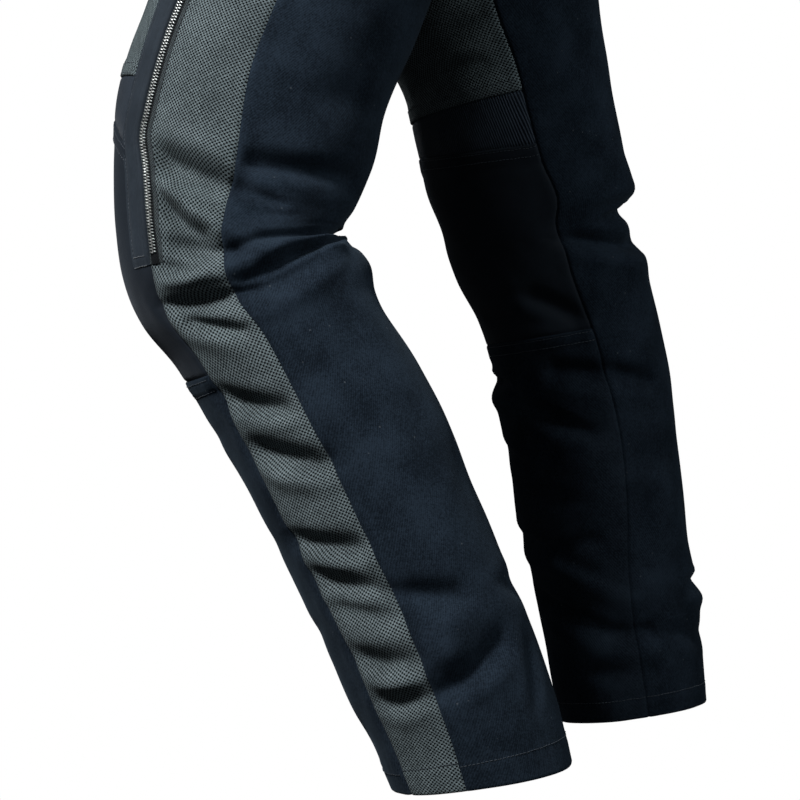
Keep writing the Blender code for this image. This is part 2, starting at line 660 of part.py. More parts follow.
def build_waist(grids, collection, looks):
    bands, outs = {}, {}
    for leg in ("l", "r"):
        rows = [(h, h, h) for h in (0.0, 8.0, 32.0, WAISTBAND - SEAM_GAP)]
        bands[leg], outs[leg] = leg_grid(leg, rows)
    ring = np.concatenate([bands["l"], bands["r"][:, -2::-1]], axis=1)
    out = np.concatenate([outs["l"], outs["r"][:, -2::-1]], axis=1)
    middle = LAST_COLUMN
    ring[:, middle, 0] = 0
    out[:, middle] = (0, 1, 0)
    outer, inner = ring + 0.6 * out, ring - 1.9 * out
    for face in (outer, inner):
        face[:, 0, 0], face[:, -1, 0] = SEAM_GAP / 2, -SEAM_GAP / 2
    loft_wall("waistband", outer, inner, looks["cloth"], collection)

    # closing tab across the front opening, on the band's two middle rows
    strip = np.concatenate([outer[1:3, 1:0:-1], outer[1:3, :1], outer[1:3, -2:-3:-1]], axis=1)
    lift = np.concatenate([out[1:3, 1:0:-1], out[1:3, :1], out[1:3, -2:-3:-1]], axis=1)
    strip[:, 1, 0] = 0
    lift[:, 1] = (0, -1, 0)
    loft_wall("waist_tab", strip + (LAY_GAP + TAB_THICK) * lift, strip + LAY_GAP * lift, looks["facing"], collection)
    edge, middle_line = strip[:, 0].mean(axis=0), strip[:, 1].mean(axis=0)
    spot = Vector(middle_line + (edge - middle_line) * 0.45)
    face = Vector(strip[0, 0] - strip[0, 1]).cross(Vector(strip[1, 1] - strip[0, 1]))
    away = face.normalized() if face.y < 0 else -face.normalized()
    up = Vector((0, 0, -1))
    across = up.cross(away).normalized()
    seat = spot + away * (2 * LAY_GAP + TAB_THICK)
    make_button(frame_matrix(seat, across, away.cross(across), away), looks["dark_metal"], collection)

    # fly flap on the left front panel
    points, normals, at = grids["l"]
    rows_of_flap = ((0.012, 1.0), (1, 1.0), (2, 1.0), (3, 1.0), (4, 1.0))
    outer, inner = [], []
    for j, wide in rows_of_flap:
        line, lift = [], []
        for k in (0, 1):
            line.append(on_grid(points, j, wide * k))
            lift.append(on_grid(normals, j, wide * k))
        outer.append([p + n * (FLAP_GAP + FLAP_THICK) for p, n in zip(line, lift)])
        inner.append([p + n * FLAP_GAP for p, n in zip(line, lift)])
    outer, inner = np.array(outer), np.array(inner)
    for face in (outer, inner):
        face[..., 0] = np.maximum(face[..., 0], SEAM_GAP / 2)
    loft_wall("fly_flap", outer, inner, looks["cloth"], collection)


def build():
    clear_scene()
    scene = bpy.context.scene
    trousers = bpy.data.collections.new("motorcycle_trousers")
    cutters = bpy.data.collections.new("cutters")
    cutters.hide_render = True
    scene.collection.children.link(trousers)
    scene.collection.children.link(cutters)
    looks = {
        "cloth": material("nap_cloth", (0.012, 0.016, 0.022), 0.9),
        "mesh": material("coarse_mesh", (0.05, 0.058, 0.06), 0.85),
        "ribbed": material("ribbed_stretch", (0.02, 0.024, 0.028), 0.9),
        "smooth": material("smooth_shell", (0.008, 0.011, 0.016), 0.8),
        "facing": material("facing_cloth", (0.045, 0.052, 0.06), 0.85),
        "metal": material("zip_metal", (0.55, 0.54, 0.51), 0.35, 1.0),
        "dark_metal": material("gun_metal", (0.12, 0.12, 0.125), 0.4, 1.0),
    }
    grids = {leg: build_leg(leg, trousers, cutters, looks) for leg in ("l", "r")}
    build_waist(grids, trousers, looks)


build()
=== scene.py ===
"""Motorcycle trousers, worn form: the looks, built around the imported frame.

Metres, +Z up. The front faces -Y and the left leg is at +X. Every panel is read from
one leg surface with two coordinates:
  round  degrees round the leg: 0 inner side, 90 front, 180 outer side, 270 back
  down   millimetres down the leg's middle line from the top of the waistband
"""

import math
from collections import namedtuple

import bmesh
import bpy
import numpy as np
from mathutils import Matrix, Vector


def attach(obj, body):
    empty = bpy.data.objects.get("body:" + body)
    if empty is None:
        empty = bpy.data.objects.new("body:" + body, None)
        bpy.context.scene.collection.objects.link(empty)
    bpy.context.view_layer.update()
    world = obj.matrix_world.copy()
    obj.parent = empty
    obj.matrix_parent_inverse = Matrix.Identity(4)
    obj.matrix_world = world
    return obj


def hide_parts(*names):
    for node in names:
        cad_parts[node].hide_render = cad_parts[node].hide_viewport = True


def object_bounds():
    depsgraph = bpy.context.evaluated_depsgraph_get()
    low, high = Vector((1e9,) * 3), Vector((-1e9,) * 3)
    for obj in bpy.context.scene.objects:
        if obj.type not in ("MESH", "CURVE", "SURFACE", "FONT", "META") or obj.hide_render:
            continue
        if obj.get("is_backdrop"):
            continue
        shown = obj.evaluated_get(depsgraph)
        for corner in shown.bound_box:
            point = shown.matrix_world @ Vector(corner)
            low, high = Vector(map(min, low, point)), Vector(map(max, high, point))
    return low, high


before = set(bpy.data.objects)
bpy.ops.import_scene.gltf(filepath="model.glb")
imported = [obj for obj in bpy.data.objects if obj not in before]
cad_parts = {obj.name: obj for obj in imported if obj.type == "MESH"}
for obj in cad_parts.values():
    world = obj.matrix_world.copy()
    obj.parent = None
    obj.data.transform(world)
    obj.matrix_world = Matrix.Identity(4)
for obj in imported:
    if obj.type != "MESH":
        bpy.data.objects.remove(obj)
cad_low, cad_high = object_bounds()

MM = 0.001
TAU = 2 * math.pi

# ================================================================ sizes, mm
SHELL = 1.3           # cloth thickness as shown
EDGE_GAP = 0.06       # between two panels at a seam
SQUARENESS = 2.2
FACING_WIDE = 20.0
TAPE_WIDE = 11.0
CHAIN_AT = 4.7        # middle of the zip chain from the facing's edge
TOOTH_PITCH = 2.25
STITCH = 3.0          # one stitch and the gap after it
STITCH_LONG = 2.3
THREAD = 0.26         # thread radius
HEM_TURN = 20.0
ZIP_TOP = 150.0
CHAIN_TOP = 165.0

Section = namedtuple("Section", "name mid_y mid_z depth tilt reach width")

HIPS = (
    Section("waist", 0, 0, 224, 0, 150, 300),
    Section("upper_hip", 2, -60, 240, 0, 163, 324),
    Section("hip", 6, -130, 258, 0, 176, 340),
)

LEG = {
    "l": HIPS + (
        Section("rise_high", 4, -165, 262, 0, 180, 290),
        Section("rise_mid", -6, -200, 256, 0, 182, 243),
        Section("rise_low", -18, -238, 232, 0, 181, 205),
        Section("crotch", -28, -270, 210, 0, 180, 180),
        Section("thigh_top", -42, -322, 204, -6, 181, 176),
        Section("thigh_high", -62, -385, 199, -11, 185, 171),
        Section("thigh_mid", -86, -447, 195, -14, 190, 166),
        Section("thigh_low", -105, -498, 192, -14, 195, 161),
        Section("above_knee", -114, -541, 191, -14, 200, 157),
        Section("knee_top", -120, -570, 179, -14, 204, 154),
        Section("knee_high", -124, -591, 167, -9, 206, 150),
        Section("knee", -123, -608, 163, 0, 211, 149),
        Section("knee_low", -117, -628, 167, 9, 215, 148),
        Section("knee_base", -103, -655, 169, 15, 219, 147),
        Section("shin_top", -89, -679, 154, 21, 222, 143),
        Section("shin_high", -79, -697, 149, 27, 224, 139),
        Section("calf", -54, -739, 150, 27, 231, 138),
        Section("shin_mid", -31, -782, 148, 27, 238, 137),
        Section("shin_low", -11, -825, 143, 27, 244, 135),
        Section("ankle_high", 9, -867, 141, 27, 250, 133),
        Section("ankle", 26, -909, 138, 26, 255, 130),
        Section("cuff", 43, -951, 133, 16, 257, 127),
        Section("hem", 57, -993, 127, 8, 260, 123),
    ),
    "r": HIPS + (
        Section("rise_high", 11, -165, 262, 0, 180, 290),
        Section("rise_mid", 21, -200, 256, 0, 182, 243),
        Section("rise_low", 30, -238, 232, 0, 181, 205),
        Section("crotch", 36, -270, 210, 0, 180, 180),
        Section("thigh_top", 47, -322, 203, 6, 183, 177),
        Section("thigh_high", 63, -385, 194, 11, 190, 172),
        Section("thigh_mid", 76, -430, 181, 13, 196, 166),
        Section("thigh_low", 87, -460, 171, 13, 202, 160),
        Section("above_knee", 96, -500, 168, 14, 209, 157),
        Section("knee_top", 105, -540, 168, 13, 216, 154),
        Section("knee_high", 115, -573, 163, 13, 221, 151),
        Section("knee", 114, -590, 152, 13, 223, 147),
        Section("knee_low", 124, -612, 155, 12, 227, 147),
        Section("knee_base", 139, -650, 149, 11, 231, 144),
        Section("shin_high", 149, -686, 145, 11, 235, 141),
        Section("calf", 154, -717, 149, 11, 240, 140),
        Section("shin_mid", 164, -768, 144, 11, 247, 137),
        Section("shin_low", 172, -819, 143, 11, 255, 135),
        Section("ankle_high", 180, -863, 138, 11, 262, 132),
        Section("ankle", 186, -897, 137, 11, 268, 130),
        Section("cuff", 194, -947, 133, 9, 274, 126),
        Section("hem", 202, -1000, 129, 8, 279, 122),
    ),
}
SIDE = {"l": 1.0, "r": -1.0}

SeamRow = namedtuple("SeamRow", "down inseam mesh_edge outseam")
SEAMS = {
    "l": (
        SeamRow(0, 0, 147, 182),
        SeamRow(150, 0, 144, 181),
        SeamRow(270, 0, 141, 180),
        SeamRow(450, -3, 138, 180),
        SeamRow(555, -5, 136, 181),
        SeamRow(577, -6, 134, 182),
        SeamRow(602, -8, 139, 182),
        SeamRow(636, -8, 139.5, 178),
        SeamRow(666, -8, 134, 174),
        SeamRow(712, -10, 133, 176),
        SeamRow(770, -13, 131, 174),
        SeamRow(850, -13, 128, 173),
        SeamRow(945, -10, 131, 173),
        SeamRow(1049, -8, 131, 171),
    ),
    "r": (
        SeamRow(0, 0, 147, 182),
        SeamRow(150, 0, 144, 181),
        SeamRow(270, 0, 141, 180),
        SeamRow(460, -2, 137, 180),
        SeamRow(545, -5, 136, 180),
        SeamRow(602, -8, 139, 180),
        SeamRow(650, -5, 136, 177),
        SeamRow(710, -9, 133, 176),
        SeamRow(765, -13, 130, 174),
        SeamRow(836, -12, 129, 173),
        SeamRow(896, -6, 130, 173),
        SeamRow(1021, -6, 131, 171),
    ),
}

# lines that run round the leg: mm down at the inseam, the front and the mesh edge
LINES = {
    "l": {"waist": (40, 40, 40), "yoke": (532, 532, 532), "knee_top": (585, 562, 590),
          "knee_base": (712, 711, 714), "hem": (1048, 1048, 1048)},
    "r": {"waist": (40, 40, 40), "yoke": (491, 488, 488), "knee_top": (534, 517, 528),
          "knee_base": (690, 686, 697), "hem": (1020, 1020, 1020)},
}
ZIP_END = {"l": 644.0, "r": 606.0}

# the largest folds, as in the solids: from (round, down) to (round, down)
Fold = namedtuple("Fold", "leg name round_a down_a round_b down_b half depth")
FOLDS = (
    Fold("l", "mesh_trough", 144, 586, 181, 594, 13, -6),
    Fold("l", "mesh_diagonal", 150, 612, 170, 628, 10, -4),
    Fold("l", "back_trough", 190, 574, 245, 566, 12, -6),
    Fold("l", "knee_crease_low", 146, 684, 168, 698, 9, -3.5),
    Fold("l", "shin_high", 136, 730, 164, 754, 11, -5),
    Fold("l", "shin_mid", 140, 776, 171, 802, 12, -6),
    Fold("l", "shin_low", 129, 842, 166, 862, 12, -6),
    Fold("l", "shin_foot", 134, 872, 168, 896, 13, -4),
    Fold("l", "ankle_dip", 176, 906, 202, 922, 15, -6),
    Fold("l", "ankle_ridge", 192, 938, 186, 954, 13, 5),
    Fold("l", "ankle_valley", 178, 977, 222, 964, 13, -6),
    Fold("l", "inner_hollow_low", 262, 642, 338, 660, 12, -5),
    Fold("l", "inner_thigh", 285, 560, 338, 574, 14, -5),
    Fold("l", "inner_shin", 356, 742, 306, 772, 14, -4),
    Fold("l", "inner_ankle", 20, 930, 325, 946, 16, -5),
    Fold("l", "whisker_high", 20, 292, 112, 232, 16, -4),
    Fold("l", "seat_trough", 335, 300, 262, 322, 18, -5),
    Fold("r", "knee_hollow_low", 288, 600, 250, 594, 10, -4),
    Fold("r", "knee_side", 18, 656, 358, 678, 12, -4),
    Fold("r", "calf_fold", 16, 720, 314, 740, 12, -4),
    Fold("r", "shin_diagonal", 58, 736, 2, 773, 14, -4),
    Fold("r", "knee_front_dip", 84, 722, 52, 732, 10, -3),
    Fold("r", "cuff_ridge", 40, 876, 350, 912, 14, 4),
    Fold("r", "cuff_trough", 64, 910, 348, 948, 15, -5),
    Fold("r", "outer_trough", 140, 600, 184, 610, 13, -5),
    Fold("r", "outer_crease", 134, 690, 196, 676, 12, -5),
    Fold("r", "outer_shin_high", 138, 770, 176, 790, 14, -4),
    Fold("r", "outer_shin_low", 132, 860, 180, 880, 14, -5),
    Fold("r", "whisker_high", 18, 288, 108, 236, 16, -3),
    Fold("r", "seat_trough", 342, 296, 268, 312, 18, -5),
)

# finer creases that the cloth shows on top of those, each along a bent path of
# (round, down) points. half is the half width and depth the height, mm (minus is
# a trough). skew above 0 is broad below the path and sharp above it
Crease = namedtuple("Crease", "leg name path half depth skew")
CREASES = (
    # the deep folds of both knees
    Crease("l", "hollow_high", ((182, 638), (217, 632), (245, 625), (268, 621), (322, 634)), 9, -3.8, 0),
    Crease("l", "hollow_low", ((178, 662), (211, 650), (234, 642), (256, 635)), 7, -4.2, 0.1),
    Crease("l", "knee_fold", ((136, 668), (158, 672), (180, 671), (202, 664), (224, 655)), 11, -7, 0),
    Crease("r", "knee_hollow", ((350, 616), (324, 622), (298, 626), (265, 621), (232, 616)), 12, -6, 0),
    # near leg: mesh panel round the knee
    Crease("l", "mesh_trough_core", ((143, 583), (155, 588), (168, 592), (183, 596)), 11, -7.0, 0.1),
    Crease("l", "mesh_roll", ((143, 600), (158, 604), (176, 607)), 7, 3.8, 0),
    Crease("l", "mesh_diag_core", ((148, 609), (158, 618), (171, 628)), 6, -7.0, 0.1),
    Crease("l", "mesh_diag_roll", ((152, 604), (163, 613), (176, 622)), 5, 2.8, 0),
    Crease("l", "mesh_low", ((152, 632), (167, 637), (184, 645)), 9, -11.0, 0.1),
    Crease("l", "mesh_small", ((143, 644), (151, 647), (161, 651)), 5, -5.0, 0),
    Crease("l", "mesh_bulge", ((142, 657), (156, 658), (168, 656)), 9, 4.2, 0),
    Crease("l", "knee_core", ((134, 667), (150, 671), (166, 672), (182, 671)), 5, -4.0, 0.3),
    Crease("l", "knee_low_core", ((142, 681), (153, 687), (167, 697)), 5, -4.2, 0),
    Crease("l", "knee_low_roll", ((138, 692), (150, 699), (163, 708)), 8, 2.6, 0),
    # near leg: back of the knee
    Crease("l", "hollow_a", ((290, 624), (264, 619), (245, 626), (217, 632), (196, 634), (183, 640)), 4, -2.6, 0),
    Crease("l", "hollow_notch", ((292, 627), (270, 623), (248, 628)), 7, -2.4, 0),
    Crease("l", "hollow_a_roll", ((238, 637), (222, 641), (206, 644), (188, 651)), 5, 2.4, 0),
    Crease("l", "hollow_b", ((262, 633), (240, 642), (214, 650), (194, 659), (180, 664)), 3.8, -3.8, 0.1),
    Crease("l", "hollow_b_roll", ((240, 651), (216, 659), (195, 668), (182, 676)), 7, 3.2, 0),
    Crease("l", "hollow_c", ((226, 656), (206, 665), (190, 672), (176, 678)), 8, -3.6, 0.3),
    Crease("l", "hollow_pocket", ((228, 641), (214, 646), (203, 650)), 7, -2.4, 0),
    Crease("l", "back_line", ((186, 576), (209, 571), (238, 565)), 7, -3.4, -0.2),
    Crease("l", "back_short", ((184, 594), (196, 597), (208, 599)), 5, -2.8, 0),
    Crease("l", "back_high", ((196, 520), (222, 514), (246, 512)), 14, -2.0, 0),
    Crease("l", "back_swell", ((200, 604), (226, 604), (250, 600)), 12, 2.4, 0),
    # near leg: shin
    Crease("l", "shin_a", ((132, 726), (147, 741), (165, 756)), 8, -5.6, 0.1),
    Crease("l", "shin_a_roll", ((140, 744), (152, 756), (166, 770)), 8, 3.0, 0),
    Crease("l", "shin_b", ((136, 770), (153, 787), (171, 804)), 8, -5.2, 0.1),
    Crease("l", "shin_b_roll", ((137, 792), (149, 803), (164, 816)), 9, 3.2, 0),
    Crease("l", "shin_c", ((128, 838), (145, 850), (168, 865)), 7, -4.0, 0.1),
    Crease("l", "shin_c_roll", ((133, 853), (148, 864), (166, 878)), 7, 3.2, 0),
    Crease("l", "shin_d", ((132, 868), (148, 881), (165, 894)), 7, -4.6, 0.2),
    Crease("l", "shin_e", ((134, 892), (150, 904), (170, 918)), 8, -5.6, 0.2),
    Crease("l", "shin_f", ((134, 930), (150, 941), (170, 950)), 8, -6.0, 0),
    Crease("l", "shin_g", ((138, 966), (152, 974), (168, 976)), 8, -5.0, 0),
    Crease("l", "shin_g_roll", ((140, 950), (152, 958), (168, 964)), 8, 3.2, 0),
    Crease("l", "front_shin_a", ((60, 742), (84, 750), (112, 752)), 9, -0.8, 0),
    Crease("l", "front_shin_b", ((74, 824), (96, 836), (118, 842)), 10, -0.7, 0),
    Crease("l", "front_shin_c", ((66, 900), (92, 908), (124, 902)), 9, -1.0, 0),
    Crease("l", "ankle_dark", ((174, 903), (188, 914), (204, 924)), 9, -4.2, 0.2),
    Crease("l", "ankle_fold", ((174, 978), (196, 972), (222, 963)), 6, -2.4, 0.2),
    Crease("l", "ankle_roll", ((184, 988), (204, 984), (226, 978)), 8, 2.0, 0),
    Crease("l", "ankle_upright", ((247, 972), (238, 990), (229, 1006)), 7, -2.2, 0),
    Crease("l", "ankle_back", ((236, 932), (258, 940), (276, 938)), 9, -2.2, 0),
    Crease("l", "calf_long", ((214, 700), (218, 760), (222, 830)), 16, -1.2, 0),
    # near leg: hidden inner side
    Crease("l", "inner_a", ((268, 622), (296, 630), (324, 636)), 5, -3.2, 0.3),
    Crease("l", "inner_b", ((262, 640), (298, 652), (338, 662)), 6, -3.0, 0.2),
    Crease("l", "inner_b_roll", ((276, 652), (306, 664), (334, 672)), 8, 2.0, 0),
    Crease("l", "inner_c", ((352, 600), (330, 588), (300, 584)), 8, -2.4, 0),
    Crease("l", "inner_d", ((352, 745), (332, 758), (304, 774)), 7, -2.2, 0.2),
    Crease("l", "inner_e", ((358, 830), (330, 846), (306, 850)), 9, -2.0, 0),
    Crease("l", "inner_f", ((352, 882), (322, 896), (290, 892)), 8, -2.2, 0),
    Crease("l", "inner_g", ((14, 934), (350, 946), (322, 948)), 8, -2.0, 0),
    Crease("l", "inner_h", ((12, 984), (352, 992), (318, 980)), 8, -2.2, 0),
    # hips and thighs
    Crease("l", "whisker_a", ((18, 286), (46, 268), (80, 248), (112, 236)), 7, -2.6, 0.2),
    Crease("l", "whisker_b", ((12, 306), (46, 298), (84, 286)), 7, -2.2, 0.2),
    Crease("l", "whisker_c", ((22, 262), (50, 240), (78, 216)), 8, -2.0, 0),
    Crease("l", "thigh_front_a", ((36, 372), (62, 364), (96, 368)), 14, -1.8, 0),
    Crease("l", "thigh_side_a", ((150, 300), (168, 330), (190, 352)), 16, -1.8, 0),
    Crease("l", "thigh_side_b", ((152, 430), (176, 446), (210, 448)), 16, -1.4, 0),
    Crease("l", "seat_a", ((338, 296), (308, 306), (268, 318)), 8, -2.8, 0.3),
    Crease("l", "seat_b", ((346, 322), (316, 336), (280, 340)), 9, -2.2, 0.2),
    Crease("l", "seat_c", ((262, 250), (236, 262), (214, 286)), 14, -1.8, 0),
    Crease("l", "seat_d", ((352, 352), (326, 368), (300, 370)), 10, -1.8, 0),
    Crease("r", "whisker_a", ((18, 282), (46, 262), (80, 246), (108, 238)), 7, -2.4, 0.2),
    Crease("r", "whisker_b", ((14, 304), (44, 296), (78, 290)), 8, -2.0, 0.2),
    Crease("r", "thigh_front_a", ((30, 356), (60, 346), (92, 352)), 14, -1.6, 0),
    Crease("r", "thigh_side_a", ((148, 322), (170, 340), (196, 346)), 15, -1.8, 0),
    Crease("r", "seat_a", ((344, 292), (312, 302), (274, 308)), 8, -2.8, 0.3),
    Crease("r", "seat_b", ((348, 316), (320, 328), (284, 330)), 9, -2.2, 0.2),
    Crease("r", "seat_c", ((352, 344), (318, 356), (288, 352)), 12, -1.8, 0),
    # far leg: inner side, shown
    Crease("r", "yoke_drag", ((52, 448), (30, 440), (6, 430)), 9, -4.2, 0),
    Crease("r", "yoke_drag_low", ((66, 470), (38, 462), (12, 462)), 7, -3.0, 0),
    Crease("r", "band_drag", ((44, 506), (28, 498), (12, 492)), 9, -1.8, 0),
    Crease("r", "thigh_back", ((348, 520), (322, 528), (296, 524)), 16, -1.4, 0),
    Crease("r", "notch", ((318, 603), (296, 600), (270, 597), (240, 600)), 5, -3.6, 0.4),
    Crease("r", "notch_roll", ((330, 588), (300, 584), (268, 583), (244, 586)), 9, 2.6, 0),
    Crease("r", "hollow", ((350, 614), (330, 620), (304, 627), (282, 624)), 7, -5.4, 0.2),
    Crease("r", "hollow_roll", ((340, 636), (314, 642), (284, 640)), 11, 2.2, 0),
    Crease("r", "knee_drag_a", ((26, 652), (12, 664), (358, 678)), 9, -2.0, 0.2),
    Crease("r", "knee_drag_b", ((62, 664), (36, 672), (14, 680)), 8, -2.0, 0),
    Crease("r", "knee_drag_c", ((70, 600), (40, 612), (16, 610)), 14, -1.6, 0),
    Crease("r", "front_notch", ((106, 714), (84, 717), (60, 721)), 5, -5.0, 0.2),
    Crease("r", "front_roll", ((108, 731), (84, 734), (58, 740), (36, 748)), 9, 4.2, 0),
    Crease("r", "shin_drag_a", ((56, 734), (34, 748), (4, 772)), 7, -4.6, 0.3),
    Crease("r", "shin_drag_b", ((18, 716), (352, 726), (316, 739)), 8, -4.0, 0.2),
    Crease("r", "shin_drag_c", ((96, 772), (70, 786), (44, 800)), 8, -3.4, 0.2),
    Crease("r", "shin_drag_d", ((64, 812), (40, 824), (12, 830)), 9, -2.2, 0),
    Crease("r", "shin_drag_e", ((100, 846), (70, 858), (40, 866), (12, 862)), 8, -3.6, 0.2),
    Crease("r", "shin_roll_e", ((92, 866), (62, 876), (34, 884)), 9, 2.2, 0),
    Crease("r", "cuff_a", ((76, 900), (44, 918), (10, 944), (344, 948)), 8, -4.2, 0.3),
    Crease("r", "cuff_b", ((44, 868), (18, 888), (350, 912)), 8, -3.4, 0),
    Crease("r", "cuff_back", ((300, 914), (278, 916), (250, 912)), 6, -4.2, 0.3),
    Crease("r", "cuff_back_roll", ((306, 932), (280, 934), (252, 930)), 9, 3.4, 0),
    Crease("r", "cuff_low", ((330, 952), (300, 962), (270, 960)), 8, -2.6, 0),
    Crease("r", "calf_soft", ((348, 800), (326, 812), (300, 808)), 14, -1.6, 0),
    Crease("r", "cuff_foot", ((60, 966), (20, 978), (340, 982)), 8, -2.2, 0),
    # far leg: hidden outer side
    Crease("r", "outer_a", ((140, 598), (160, 604), (184, 612)), 7, -2.8, 0.2),
    Crease("r", "outer_b", ((146, 622), (166, 632), (190, 636)), 6, -2.6, 0.3),
    Crease("r", "outer_c", ((182, 616), (210, 610), (238, 604)), 6, -3.0, 0.3),
    Crease("r", "outer_d", ((134, 690), (162, 686), (198, 676)), 6, -2.6, 0.2),
    Crease("r", "outer_e", ((136, 766), (154, 778), (176, 792)), 7, -2.2, 0.2),
    Crease("r", "outer_f", ((130, 856), (152, 868), (180, 882)), 7, -2.6, 0.2),
    Crease("r", "outer_g", ((134, 898), (156, 908), (186, 914)), 7, -2.2, 0),
    Crease("r", "outer_h", ((176, 948), (206, 944), (234, 938)), 8, -2.4, 0),
    Crease("r", "outer_thigh", ((150, 420), (174, 438), (204, 440)), 16, -1.6, 0),
)


# ============================================================== leg surface
def spine_downs(sections):
    downs = [0.0]
    for a, b in zip(sections, sections[1:]):
        step = math.hypot(b.mid_y - a.mid_y, b.mid_z - a.mid_z)
        downs.append(downs[-1] + (abs(b.mid_z - a.mid_z) if b.mid_z >= -270 else step))
    return downs


def smooth_read(at, knots, values):
    knots, values = np.asarray(knots, float), np.asarray(values, float)
    slope = np.gradient(values, knots)
    at = np.asarray(at, float)
    i = np.clip(np.searchsorted(knots, at, side="right") - 1, 0, len(knots) - 2)
    h = knots[i + 1] - knots[i]
    t = (at - knots[i]) / h
    return (
        (2 * t**3 - 3 * t**2 + 1) * values[i]
        + (t**3 - 2 * t**2 + t) * h * slope[i]
        + (3 * t**2 - 2 * t**3) * values[i + 1]
        + (t**3 - t**2) * h * slope[i + 1]
    )


def section_at(leg, down):
    table = LEG[leg]
    knots = spine_downs(table)
    return {c: smooth_read(down, knots, [getattr(s, c) for s in table])
            for c in ("mid_y", "mid_z", "depth", "tilt", "reach", "width")}


def hips_mid_y(down):
    return smooth_read(down, (0, 60, 130, 270), (0, 2, 6, 4))


def cut_angle(section):
    half = section["width"] / 2
    share = np.clip((section["reach"] - half) / half, 0, 1)
    return np.degrees(np.arccos(share ** (SQUARENESS / 2)))


def fold_height(leg, rnd, down, section):
    """Height of the largest folds, mm."""
    total = np.zeros(np.broadcast(rnd, down).shape)
    per_degree = (section["depth"] + section["width"]) * math.pi / 2 / 360
    for fold in FOLDS:
        if fold.leg != leg:
            continue
        turn = (rnd - fold.round_a + 180) % 360 - 180
        run = (fold.round_b - fold.round_a + 180) % 360 - 180
        ax, ay = turn * per_degree, down - fold.down_a
        bx, by = run * per_degree, fold.down_b - fold.down_a
        share = np.clip((ax * bx + ay * by) / (bx * bx + by * by + 1e-9), 0, 1)
        off = np.hypot(ax - share * bx, ay - share * by)
        total = total + fold.depth * np.exp(-((off / fold.half) ** 2) * 1.4)
    return total


def crease_height(leg, rnd, down, section):
    """Height of the finer creases, with a low lip beside each trough, mm."""
    total = np.zeros(np.broadcast(rnd, down).shape)
    per_degree = (section["depth"] + section["width"]) * math.pi / 2 / 360
    for crease in CREASES:
        if crease.leg != leg:
            continue
        legs = len(crease.path) - 1
        best = np.full(total.shape, 1e9)
        side = np.zeros(total.shape)
        along = np.zeros(total.shape)
        for k, ((ra, da), (rb, db)) in enumerate(zip(crease.path, crease.path[1:])):
            turn = (rnd - ra + 180) % 360 - 180
            run = (rb - ra + 180) % 360 - 180
            ax, ay = turn * per_degree, down - da
            bx, by = run * per_degree, db - da
            share = np.clip((ax * bx + ay * by) / (bx * bx + by * by + 1e-9), 0, 1)
            off = np.hypot(ax - share * bx, ay - share * by)
            near = off < best
            best = np.where(near, off, best)
            below = (bx * ay - by * ax) * np.sign(bx + 1e-9)
            side = np.where(near, np.sign(below), side)
            along = np.where(near, (k + share) / legs, along)
        half = crease.half * (1 + crease.skew * side)
        taper = 0.45 + 0.55 * np.sin(math.pi * np.clip(along, 0, 1)) ** 0.8
        t = best / (half * (0.6 + 0.4 * taper))
        lip = -0.22 * np.exp(-(((t - 1.9) / 0.7) ** 2)) if crease.depth < 0 else 0.0
        total = total + crease.depth * taper * (np.exp(-1.4 * t**2) + lip)
    return total


def slow_swell(leg, rnd, down):
    """Broad unevenness of worn cloth, mm."""
    a, k = np.radians(rnd), 0.0 if leg == "l" else 1.7
    return (
        0.55 * np.sin(3 * a + down / 41.0 + k)
        + 0.45 * np.sin(5 * a - down / 29.0 + 2.1 * k)
        + 0.30 * np.sin(8 * a + down / 17.0 + 0.6 + k)
        + 0.22 * np.sin(2 * a - down / 11.5 + 1.3 * k)
        + 0.16 * np.sin(13 * a + down / 8.3 + k) * np.sin(down / 37.0)
    )


def bare_surface(leg, rnd, down):
    s = section_at(leg, down)
    half = s["width"] / 2
    c, n = np.cos(np.radians(rnd)), np.sin(np.radians(rnd))
    power = 2 / SQUARENESS
    across = half * np.sign(c) * np.abs(c) ** power
    forward = s["depth"] / 2 * np.sign(n) * np.abs(n) ** power
    x = s["reach"] - half - across
    mid_y = s["mid_y"]
    own = np.clip(x / 80, 0, 1)
    own = np.where(down < 270, own * own * (3 - 2 * own), 1.0)
    mid_y = mid_y * own + hips_mid_y(np.minimum(down, 270)) * (1 - own)
    tilt = np.radians(s["tilt"])
    y = mid_y - forward * np.cos(tilt)
    z = s["mid_z"] - forward * np.sin(tilt)
    return np.stack([x * SIDE[leg], y, z + 0 * x], axis=-1), s


def surface_normal(leg, rnd, down, sample):
    turn, drop = 0.4, 1.0
    d_round = sample(leg, rnd + turn, down) - sample(leg, rnd - turn, down)
    d_down = sample(leg, rnd, down + drop) - sample(leg, rnd, down - drop)
    normal = np.cross(d_down, d_round) * SIDE[leg]
    return normal / np.linalg.norm(normal, axis=-1, keepdims=True)


